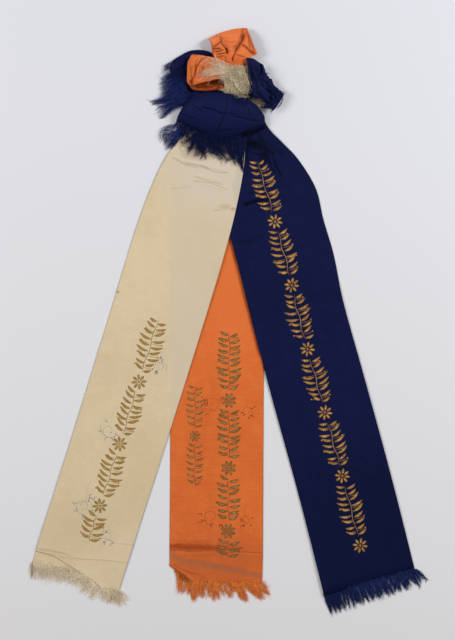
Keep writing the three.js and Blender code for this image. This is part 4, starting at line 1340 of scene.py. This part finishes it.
# Columns: x, lowest y and highest y of the edge that the combed locks of the left end come from.
LEFT_COMBED = (-70, 348, 396)
COMBED_LOCKS = 96
RIGHT_FRAYS = [
    ([(90, 360, 12), (89, 350, 11), (84, 341, 9), (80, 336, 7)], 1.0, 10),
    ([(74, 338, 13), (72, 334, 10), (70, 331, 8)], 2, 12),
    ([(84, 366, 13), (90, 364, 12), (94, 361, 11)], 1.5, 10),
    ([(52, 362, 24), (48, 356, 18), (44, 352, 12)], 5, 30),
    ([(60, 358, 22), (57, 352, 17), (55, 349, 12)], 5, 30),
    ([(46, 366, 25), (40, 361, 22), (37, 356, 18)], 4, 24),
]
RIGHT_EDGE = [
    (66, 390), (70, 380), (76, 371), (86, 364), (88, 356), (82, 346), (76, 340), (70, 346), (66, 352),
]
WRAP_LOCKS = [
    ([(-77, 319, 7), (-83, 311, 6), (-90, 309, 5), (-98, 309, 4), (-105, 302, 3),
      (-106, 292, 2), (-103, 286, 1)], 0.5, 16),
    ([(-79, 322, 7), (-80, 313, 6), (-85, 306, 5), (-93, 303, 4), (-99, 305, 3),
      (-103, 299, 2), (-101, 291, 1)], 0.5, 14),
    ([(-75, 314, 7), (-76, 306, 6), (-84, 300, 5), (-90, 300, 4), (-95, 297, 3),
      (-99, 289, 2), (-95, 283, 1)], 0.6, 14),
    ([(-72, 312, 7), (-79, 301, 5), (-87, 295, 4), (-92, 296, 3), (-98, 291, 2), (-98, 282, 1)], 0.8, 16),
    ([(-67, 309, 7), (-75, 301, 6), (-81, 293, 5), (-88, 284, 4), (-97, 275, 2)], 1.8, 56),
    ([(-66, 306, 7), (-73, 296, 5), (-80, 288, 4), (-84, 280, 3), (-93, 277, 2)], 1.4, 24),
    ([(-72, 310, 7), (-82, 296, 5), (-92, 288, 3), (-100, 285, 2)], 4, 30),
    ([(-76, 319, 7), (-79, 310, 5), (-74, 300, 5)], 3, 24),
    ([(-60, 302, 7), (-64, 290, 5), (-62, 278, 5)], 2, 12),
    ([(-63, 301, 7), (-73, 291, 5), (-71, 283, 5), (-64, 278, 5)], 1, 12),
    ([(-52, 299, 7), (-53, 284, 5), (-58, 272, 5)], 2.5, 18),
    ([(-46, 297, 7), (-44, 284, 5), (-39, 272, 5), (-33, 262, 5)], 2.5, 34),
    ([(-40, 296, 7), (-34, 282, 5), (-36, 268, 5), (-40, 257, 5)], 2, 24),
    ([(-30, 294, 7), (-30, 280, 5), (-24, 266, 5)], 3, 34),
    ([(-20, 293, 7), (-23, 278, 5), (-14, 262, 5)], 3, 34),
    ([(-10, 292, 7), (-14, 276, 5), (-6, 262, 5), (2, 254, 5)], 3, 34),
    ([(2, 292, 7), (4, 276, 5), (12, 262, 5), (16, 252, 5)], 5, 60),
    ([(12, 293, 7), (17, 268, 5), (26, 240, 5)], 3.6, 90),
    ([(20, 294, 8), (24, 268, 6), (26, 246, 5)], 3, 60),
    ([(29, 297, 8), (28, 282, 6), (27, 264, 5)], 3, 60),
    ([(-36, 272, 5), (-44, 268, 5), (-52, 264, 5), (-50, 262, 5)], 1, 8),
]
FRAYED_LOCKS = 46
HANGING_LOCKS = 90
CROSSING_LOCKS = 110
CURLED_LOCKS = 22
# Columns: x, y of the wrap's lower edge.
WRAP_EDGE = [(-76, 316), (-58, 304), (-34, 296), (0, 292), (24, 292)]
WRAP_FILLING = [
    ([(-8, 292, 8), (-6, 282, 6), (-3, 266, 5)], 5, 24),
    ([(-54, 298, 8), (-52, 288, 6), (-54, 272, 5)], 4, 16),
    ([(-20, 290, 8), (-16, 276, 6), (-20, 262, 5)], 5, 16),
]
PLUME_LOCKS = [
    ([(30, 366, 25), (27, 376, 28), (19, 390, 29), (8, 401, 27)], 7, 120),
    ([(31, 374, 25), (28, 386, 27), (22, 395, 27), (16, 402, 25)], 5, 100),
    ([(22, 365, 27), (17, 375, 30), (10, 386, 30), (-2, 395, 29)], 7, 130),
    ([(11, 368, 27), (8, 376, 29), (3, 388, 29), (-8, 400, 28)], 6, 110),
    ([(28, 364, 25), (22, 364, 27), (13, 367, 27), (5, 370, 26)], 4, 80),
    ([(28, 388, 26), (17, 395, 28), (4, 401, 28), (-8, 403, 27)], 5, 100),
    ([(0, 396, 30), (-14, 397, 29), (-28, 393, 28.5), (-42, 386, 27.5)], 6, 46),
    ([(-2, 398, 30), (-16, 400, 29), (-30, 397, 28), (-45, 389, 27)], 5, 30),
    ([(0, 398, 30), (-14, 404, 29), (-26, 408, 28.5), (-36, 415, 26)], 8, 40),
    ([(0, 400, 29), (-12, 408, 28), (-20, 414, 27), (-24, 419, 26)], 5, 30),
    ([(-2, 393, 30), (-20, 392, 29), (-34, 390, 28), (-46, 395, 27)], 3, 26),
    ([(30, 368, 25), (26, 362, 25), (20, 360, 24), (14, 365, 26)], 4, 50),
    ([(14, 367, 27), (20, 361, 27), (26, 359, 25), (32, 355, 24)], 4, 40),
    ([(8, 369, 27), (2, 366, 26), (-4, 365, 26), (-8, 369, 27)], 2.5, 22),
    ([(4, 389, 29), (-5, 386.5, 28), (-12, 389, 27)], 3, 40),
    ([(3, 390, 29), (-3, 384, 28), (-5, 377, 26)], 3, 30),
]
PLUME_BED = [
    (-2, 361, 19, 23, 32, 361, 20),
    (-3, 369, 19, 26, 36, 369, 20),
    (-4, 383, 20, 27, 36, 384, 21),
    (-5, 399, 20, 27, 35, 398, 20),
    (-6, 406, 18, 22, 33, 406, 18),
]
TUFT_LOCKS = [
    ([(38, 347, 9), (48, 349, 9), (57, 348, 8), (62, 344, 6)], 5, 70),
    ([(38, 344, 9), (48, 343, 8), (55, 339, 6)], 4, 60),
    ([(40, 350, 9), (51, 352, 8), (60, 352, 6)], 4, 40),
]


def placed_locks(rng, rows, **looks):
    return [strand for line, width, count in rows for strand in lock(rng, line, width, count, **looks)]


def tail_fringes():
    rng = random.Random(5)
    navy = end_fringe(
        rng, (157, -437), (300, -398), (-73, -66, -44), 62, 14, (34, 29), 1.2, spread=5, width=1.4, wave=0.8,
        gather=(0.3, 0.8), bend=14,
    )
    navy += end_fringe(
        rng, (156, -437), (301, -398), (-74, -64, -44), 42, 17, (31, 24), 1.2, spread=10, width=4, wave=1.2
    )
    navy += placed_locks(rng, NAVY_END_LOCKS, wave=0.5, gather=0.6)
    orange = placed_locks(rng, ORANGE_END_LOCKS, wave=1.5, gather=0.35, points=8, turns=(0.4, 2))
    orange += end_fringe(
        rng, (-56, -418), (57, -418), (-88, -84, -66), 26, 14, (15, 19), spread=20, width=4.0, wave=1.8,
        points=8, turns=(0.4, 2),
    )
    folded = end_fringe(
        rng, (-81, -400), (-56, -416), (-91, -88, -86), 9, 24, (33, 22), 0.4, spread=4, width=3.4, wave=0.9
    )
    # Short threads under the folded corner, in the darker floss as painted shade.
    shaded = end_fringe(
        rng, (-83, -397), (-57, -415), (-70, -62, -60), 9, 24, (13, 10), 0.9, spread=12, width=3.4, wave=1.2
    )
    cream = end_fringe(
        rng, (-307, -390), (-220, -405), (-92, -88, -74), 44, 18, (20, 19), 0.9, spread=20, width=7, wave=1.1,
        points=9, turns=(1, 3), gather=(-0.3, 0.2),
    )
    cream += placed_locks(rng, CREAM_END_LOCKS, wave=0.6, gather=0.2)
    tip = end_fringe(
        rng, (-223, -413), (-173, -435), (-96, -76, -50), 26, 15, (27, 22), 0.9, spread=14, width=5, wave=1.4,
        points=8, turns=(0.6, 2.2), gather=(-0.4, 0.3),
    )
    tip += placed_locks(rng, CREAM_TIP_LOCKS, wave=1.2, gather=0.3)
    return {
        "navy": thread_piece("navy_end_threads", navy, NAVY_FLOSS, "navy_fringe"),
        "orange": thread_piece(
            "orange_end_threads", orange + folded, ORANGE_FLOSS, "orange_fringe"
        ),
        "shaded": thread_piece("orange_folded_threads", shaded, SHADED_ORANGE_FLOSS),
        "cream": thread_piece("cream_end_threads", cream, CREAM_FLOSS, "cream_fringe"),
        "tip": thread_piece("cream_tip_threads", tip, CREAM_FLOSS, "cream_end_fringe"),
    }


def left_fringe():
    rng = random.Random(13)
    strands = placed_locks(rng, LEFT_LOCKS, wave=1.5, gather=0.4, points=8, turns=(0.6, 2.6))
    x, low, high = LEFT_COMBED
    for _ in range(COMBED_LOCKS):
        root = (x + rng.uniform(-12, 8), rng.uniform(low, high), 13)
        line = heading_line(root, rng.uniform(170, 228), rng.uniform(12, 20), rng.gauss(0, 50), 7)
        strands += lock(rng, line, 5, 9, wave=1.6, points=7, turns=(0.8, 2.4))
    return thread_piece("navy_left_threads", strands, BLUE_FLOSS, "left_navy_fringe")


def right_fray():
    rng = random.Random(17)
    strands = placed_locks(rng, RIGHT_FRAYS, wave=0.8, gather=0.0)
    for _ in range(FRAYED_LOCKS):
        x, y = rng.choice(RIGHT_EDGE)
        root = (x + rng.gauss(-6, 2), y + rng.gauss(-1, 2), 14)
        line = heading_line(root, rng.uniform(-100, 30), rng.uniform(5, 9), rng.gauss(0, 60), 12)
        strands += lock(rng, line, 2, 5, wave=0.8, points=6, turns=(0.6, 2))
    return thread_piece("navy_right_threads", strands, BLUE_FLOSS)


def wrap_fringe():
    rng = random.Random(8)
    strands = placed_locks(rng, WRAP_LOCKS, wave=1.8, gather=0.3, floor=1, points=9, turns=(0.5, 2.2))
    for _ in range(HANGING_LOCKS):
        x = rng.uniform(-74, 28)
        y = np.interp(x, *zip(*WRAP_EDGE))
        line = heading_line((x, y + 3, 9), rng.gauss(-88, 40), rng.uniform(10, 30), rng.gauss(0, 100), 5)
        strands += lock(rng, line, 2.4, 6, wave=2.0, gather=0.2, floor=4.2, points=9, turns=(0.5, 2))
    for _ in range(CROSSING_LOCKS):
        x = rng.uniform(-66, 28)
        y = np.interp(x, *zip(*WRAP_EDGE)) - rng.uniform(2, 26)
        line = heading_line((x, y, 6), rng.uniform(-200, 20), rng.uniform(12, 26), rng.gauss(0, 130), 5)
        strands += lock(rng, line, 0.7, 5, wave=0.8, gather=0.3, floor=4.2, points=9, turns=(0.5, 2))
    for _ in range(CURLED_LOCKS):
        root = (rng.uniform(-100, -80), rng.uniform(280, 304), 3)
        line = heading_line(root, rng.uniform(150, 300), rng.uniform(7, 14), rng.gauss(0, 150), 2)
        strands += lock(rng, line, 0.5, 4, wave=0.6, gather=0.3, points=9, turns=(0.5, 1.6))
    strands += placed_locks(rng, WRAP_FILLING, wave=1.6, gather=0.1, floor=4.2, points=9, turns=(0.5, 2))
    return thread_piece("navy_wrap_threads", strands, DARK_FLOSS, "navy_wrap_fringe")


def plume():
    rng = random.Random(21)
    strands = placed_locks(rng, PLUME_LOCKS, wave=2.4, gather=0.0, reach=(0.5, 1.05))
    thread_piece("cream_plume_threads", strands, PALE_FLOSS, "cream_plume")
    across = np.linspace(-1, 1, 41)
    points, hollow = loop_points(
        PLUME_BED, steps((1, 40)), across, pleats=[], folds=[], visible=(-1, 2), seed=95, crush=1.2,
        fullness=2.6, inner_folds=[],
    )
    mat = cloth_piece("cream_plume_mat", points, PLUME_GROUND, hollow, thickness=1.2)
    tuft = placed_locks(rng, TUFT_LOCKS, wave=2.4, gather=0.0, reach=(0.5, 1.05), floor=1)
    thread_piece("cream_tuft_threads", tuft, PALE_FLOSS, "cream_tuft")


# Gilded garlands on the ribbons
LEAF_SPACING = 9.5
LEAF_LENGTH = 21
FLOWER_RADIUS = 12
PETALS = 8
SCROLL_POINTS = 12
ORNAMENT_LIFT = 0.12
PAINT_THICKNESS = 0.1


class RibbonFace:
    """Finds places on a ribbon's upper face from millimetres across its middle line and along it."""

    def __init__(self, points):
        self.points = points
        self.normals = surface_normals(points)
        self.normals *= np.sign(self.normals[:, :, 2:3])
        self.lengths = cloth_lengths(points)
        self.middle = points[:, points.shape[1] // 2, :]

    def along_at(self, y):
        """How far along the ribbon its middle line reaches a height y of the table."""
        return float(np.interp(-y, -self.middle[:, 1], self.lengths))

    def place(self, across, along, lift):
        rows, columns = self.points.shape[:2]
        i = np.interp(along, self.lengths, np.arange(rows))
        j = np.clip((across / (RIBBON_WIDTH / 2) + 1) / 2, 0, 1) * (columns - 1)
        i0, j0 = min(int(i), rows - 2), min(int(j), columns - 2)
        u, v = i - i0, j - j0
        corners = [
            (a, b, wa * wb) for a, wa in ((i0, 1 - u), (i0 + 1, u)) for b, wb in ((j0, 1 - v), (j0 + 1, v))
        ]
        point = sum(self.points[a, b] * w for a, b, w in corners)
        normal = sum(self.normals[a, b] * w for a, b, w in corners)
        return point + normal * (SILK / 2 + lift)


def leaf_shape(share):
    return math.sin(math.pi * min(1, 0.03 + 0.95 * share)) ** 0.8


def petal_shape(share):
    return math.sin(math.pi * min(1, 0.06 + 0.86 * share**1.3)) ** 0.7


def line_shape(share):
    return min(1, 8 * share + 0.1, 8 * (1 - share) + 0.1)


def berry_shape(share):
    return math.sqrt(max(0.02, 1 - (2 * share - 1) ** 2))


class Paint:
    """Brush strokes on a ribbon, gathered in one mesh. Places are in millimetres across the ribbon and along
    it."""

    def __init__(self, face):
        self.face = face
        self.bm = bmesh.new()
        self.cloth_map = self.bm.loops.layers.uv.new("cloth")
        self.lit = self.bm.verts.layers.float.new("lit")

    def stroke(self, line, width, shape, segments=6):
        """A stroke along a line. shape gives its half width for a share of the way."""
        path = guide(line, np.linspace(0, 1, segments + 1))
        way = np.gradient(path, axis=0)
        way /= np.maximum(np.linalg.norm(way, axis=1), 1e-9)[:, None]
        length = float(np.linalg.norm(np.diff(path, axis=0), axis=1).sum())
        made = bmesh.ops.create_grid(self.bm, x_segments=2, y_segments=segments, size=1)["verts"]
        for vert in made:
            side, k = round(vert.co.x), round((vert.co.y + 1) / 2 * segments)
            reach = side * width / 2 * shape(k / segments)
            across, along = path[k][0] - way[k][1] * reach, path[k][1] + way[k][0] * reach
            for loop in vert.link_loops:
                loop[self.cloth_map].uv = (side, k / segments * length * MM)
            # Painted highlight: lit is highest at the stroke's middle and falls to nothing at its ends, where
            # the gilding is painted dull as shade.
            vert[self.lit] = math.sin(math.pi * k / segments)
            vert.co = (self.face.place(across, along, ORNAMENT_LIFT) - CENTRE) * MM

    def berry(self, x, y, size):
        self.stroke([(x, y - size / 2), (x, y), (x, y + size / 2)], size, berry_shape)

    def dotted(self, line, width, dash=2.4, gap=1.7):
        path = guide(line, np.linspace(0, 1, 12 * len(line)))
        distance = np.concatenate([[0], np.cumsum(np.linalg.norm(np.diff(path, axis=0), axis=1))])
        for start in np.arange(0, distance[-1] - dash, dash + gap):
            ends = start + np.array([0, dash / 2, dash])
            dots = [(np.interp(d, distance, path[:, 0]), np.interp(d, distance, path[:, 1])) for d in ends]
            self.stroke(dots, width, line_shape, segments=2)

    def flower(self, x, y, radius):
        """Slim petals round a berry."""
        for k in range(PETALS):
            angle = (k + 0.5) * 2 * math.pi / PETALS
            c, s = math.cos(angle), math.sin(angle)
            line = [(x + c * radius * far, y + s * radius * far) for far in (0.24, 0.6, 1)]
            self.stroke(line, 0.36 * radius, petal_shape, segments=7)
        self.berry(x, y, 0.32 * radius)

    def branch(self, rng, middle, start, end, leaf):
        """A spray of slim leaves in pairs along a wavy stem, longest at its middle, with a berry at every
        other pair."""
        count = max(2, round(abs(end - start) / LEAF_SPACING))
        stem = [(middle + 1.3 * math.sin(k + start), mix(start, end, k / 12)) for k in range(13)]
        self.stroke(stem, 1.1, line_shape, segments=48)
        for k in range(count):
            share = (k + 0.5) / count
            along = mix(start, end, share)
            full = leaf * (0.68 + 0.32 * math.sin(math.pi * share))
            for side in (-1, 1):
                size = full * rng.uniform(0.82, 1.05)
                angle = math.radians(rng.gauss(19, 6))
                root = (middle + side * 1.3, along + 1.6 * side)
                tip = (root[0] + side * size * math.cos(angle), root[1] - size * math.sin(angle))
                belly = ((root[0] + tip[0]) / 2, (root[1] + tip[1]) / 2 + 0.1 * size)
                self.stroke([root, belly, tip], leaf * 0.225, leaf_shape, segments=8)
            if k % 2:
                for side in (-1, 1):
                    x, y = middle + side * full * 0.84, along + 3.4
                    self.berry(x, y, leaf * 0.13)
                    twig = [(middle, along + 5), (middle + side * full * 0.5, along + 5), (x, y)]
                    self.stroke(twig, 0.7, line_shape)

    def finish(self, name, material):
        mesh = bpy.data.meshes.new(name)
        self.bm.to_mesh(mesh)
        self.bm.free()
        piece = add_piece(name, mesh, material)
        solid = piece.modifiers.new("paint_thickness", "SOLIDIFY")
        solid.thickness = PAINT_THICKNESS * MM
        solid.offset = -1
        return piece


def scroll(start, radius, turns, hand, turned):
    """Points of a tendril that curls inwards from its start."""
    line = []
    for k in range(SCROLL_POINTS):
        share = k / (SCROLL_POINTS - 1)
        angle = turned + hand * share * turns * 2 * math.pi
        size = radius * (1 - 0.75 * share)
        line.append((start[0] + size * math.cos(angle), start[1] + size * math.sin(angle)))
    return line


def garland(name, face, middle, start, end, flowers, material, seed, leaf=LEAF_LENGTH, radius=FLOWER_RADIUS):
    """Sprays of leaves in a row along a ribbon, with a flower at each share of the way in flowers."""
    rng = random.Random(seed)
    paint = Paint(face)
    room = (radius + 3) / abs(end - start)
    stops = [-room, *flowers, 1 + room]
    for share in flowers:
        paint.flower(middle, mix(start, end, share), radius)
    for before, after in zip(stops[:-1], stops[1:]):
        low, high = before + room, after - room
        if high > low:
            paint.branch(rng, middle, mix(start, end, low), mix(start, end, high), leaf)
    return paint.finish(name, material)


def tendrils(name, face, places, material, seed):
    """Fine dotted scrolls, each with a few curls about it. places are rows of how far across the ribbon, how
    far along it, and a radius."""
    rng = random.Random(seed)
    paint = Paint(face)
    for x, y, radius in places:
        paint.dotted(scroll((x, y), radius, 1.1, 1, rng.uniform(0, 6)), 0.9)
        paint.dotted(scroll((x, y), radius * 1.35, 0.6, -1, rng.uniform(0, 6)), 0.75)
        for _ in range(7):
            turned = rng.uniform(0, 2 * math.pi)
            far = radius * rng.uniform(0.9, 1.7)
            start = (x + far * math.cos(turned), y + far * math.sin(turned))
            curl = scroll(start, radius * 0.3, 0.7, rng.choice((-1, 1)), turned)
            paint.stroke(curl, 0.7, line_shape, segments=12)
        trail = [(x, y - radius * 1.2), (x - 3, y - radius * 2.4), (x + 2, y - radius * 3.8)]
        paint.dotted(trail, 0.5, dash=1.8, gap=2.6)
    return paint.finish(name, material)


# The sash
add_camera()
add_lights()
add_floor()

orange_piece, orange_points = orange_tail()
navy_piece, navy_points = navy_tail()
cream_piece, cream_points = cream_tail()
corner_piece, corner_points = cream_corner()
left_piece, left_points = left_end()
right_piece, right_points = right_loop()
top_piece, top_points = top_loop()
side_piece, side_points = side_loop()
wrap_piece, wrap_points = wrap()
knot()

fringes = tail_fringes()
left_threads = left_fringe()
right_threads = right_fray()
wrap_threads = wrap_fringe()
plume()

cream_face = RibbonFace(cream_points)
orange_face = RibbonFace(orange_points)
navy_face = RibbonFace(navy_points)
cream_start, cream_end = cream_face.along_at(-352), cream_face.along_at(2)
cream_trim = [
    garland("cream_garland", cream_face, 3, cream_start, cream_end, [0.16, 0.44, 0.72], GOLD_ON_CREAM, 3),
    tendrils(
        "cream_tendrils", cream_face,
        [(-22, cream_start - 50, 13), (-20, cream_start - 178, 12), (30, cream_start - 16, 8),
         (28, cream_start - 300, 9)],
        BLUE_INK, 4,
    ),
]
orange_start, orange_end = orange_face.along_at(-380), orange_face.along_at(-20)
orange_trim = [
    garland("orange_garland", orange_face, 19, orange_start, orange_end, [0.12, 0.4, 0.7], GOLD_ON_ORANGE, 6),
    garland(
        "orange_small_garland", orange_face, -35, orange_face.along_at(-266), orange_face.along_at(-104),
        [0.5], GOLD_ON_ORANGE, 7, leaf=15, radius=9,
    ),
    tendrils(
        "orange_tendrils", orange_face,
        [(-8, orange_start - 66, 14), (-6, orange_start - 244, 12), (47, orange_start - 60, 7),
         (49, orange_start - 236, 8)],
        BROWN_INK, 8,
    ),
]
navy_start, navy_end = navy_face.along_at(-360), navy_face.along_at(256)
navy_trim = [
    garland(
        "navy_garland", navy_face, 0, navy_start, navy_end, [0, 0.18, 0.345, 0.51, 0.675, 0.84],
        GOLD_ON_NAVY, 9,
    )
]
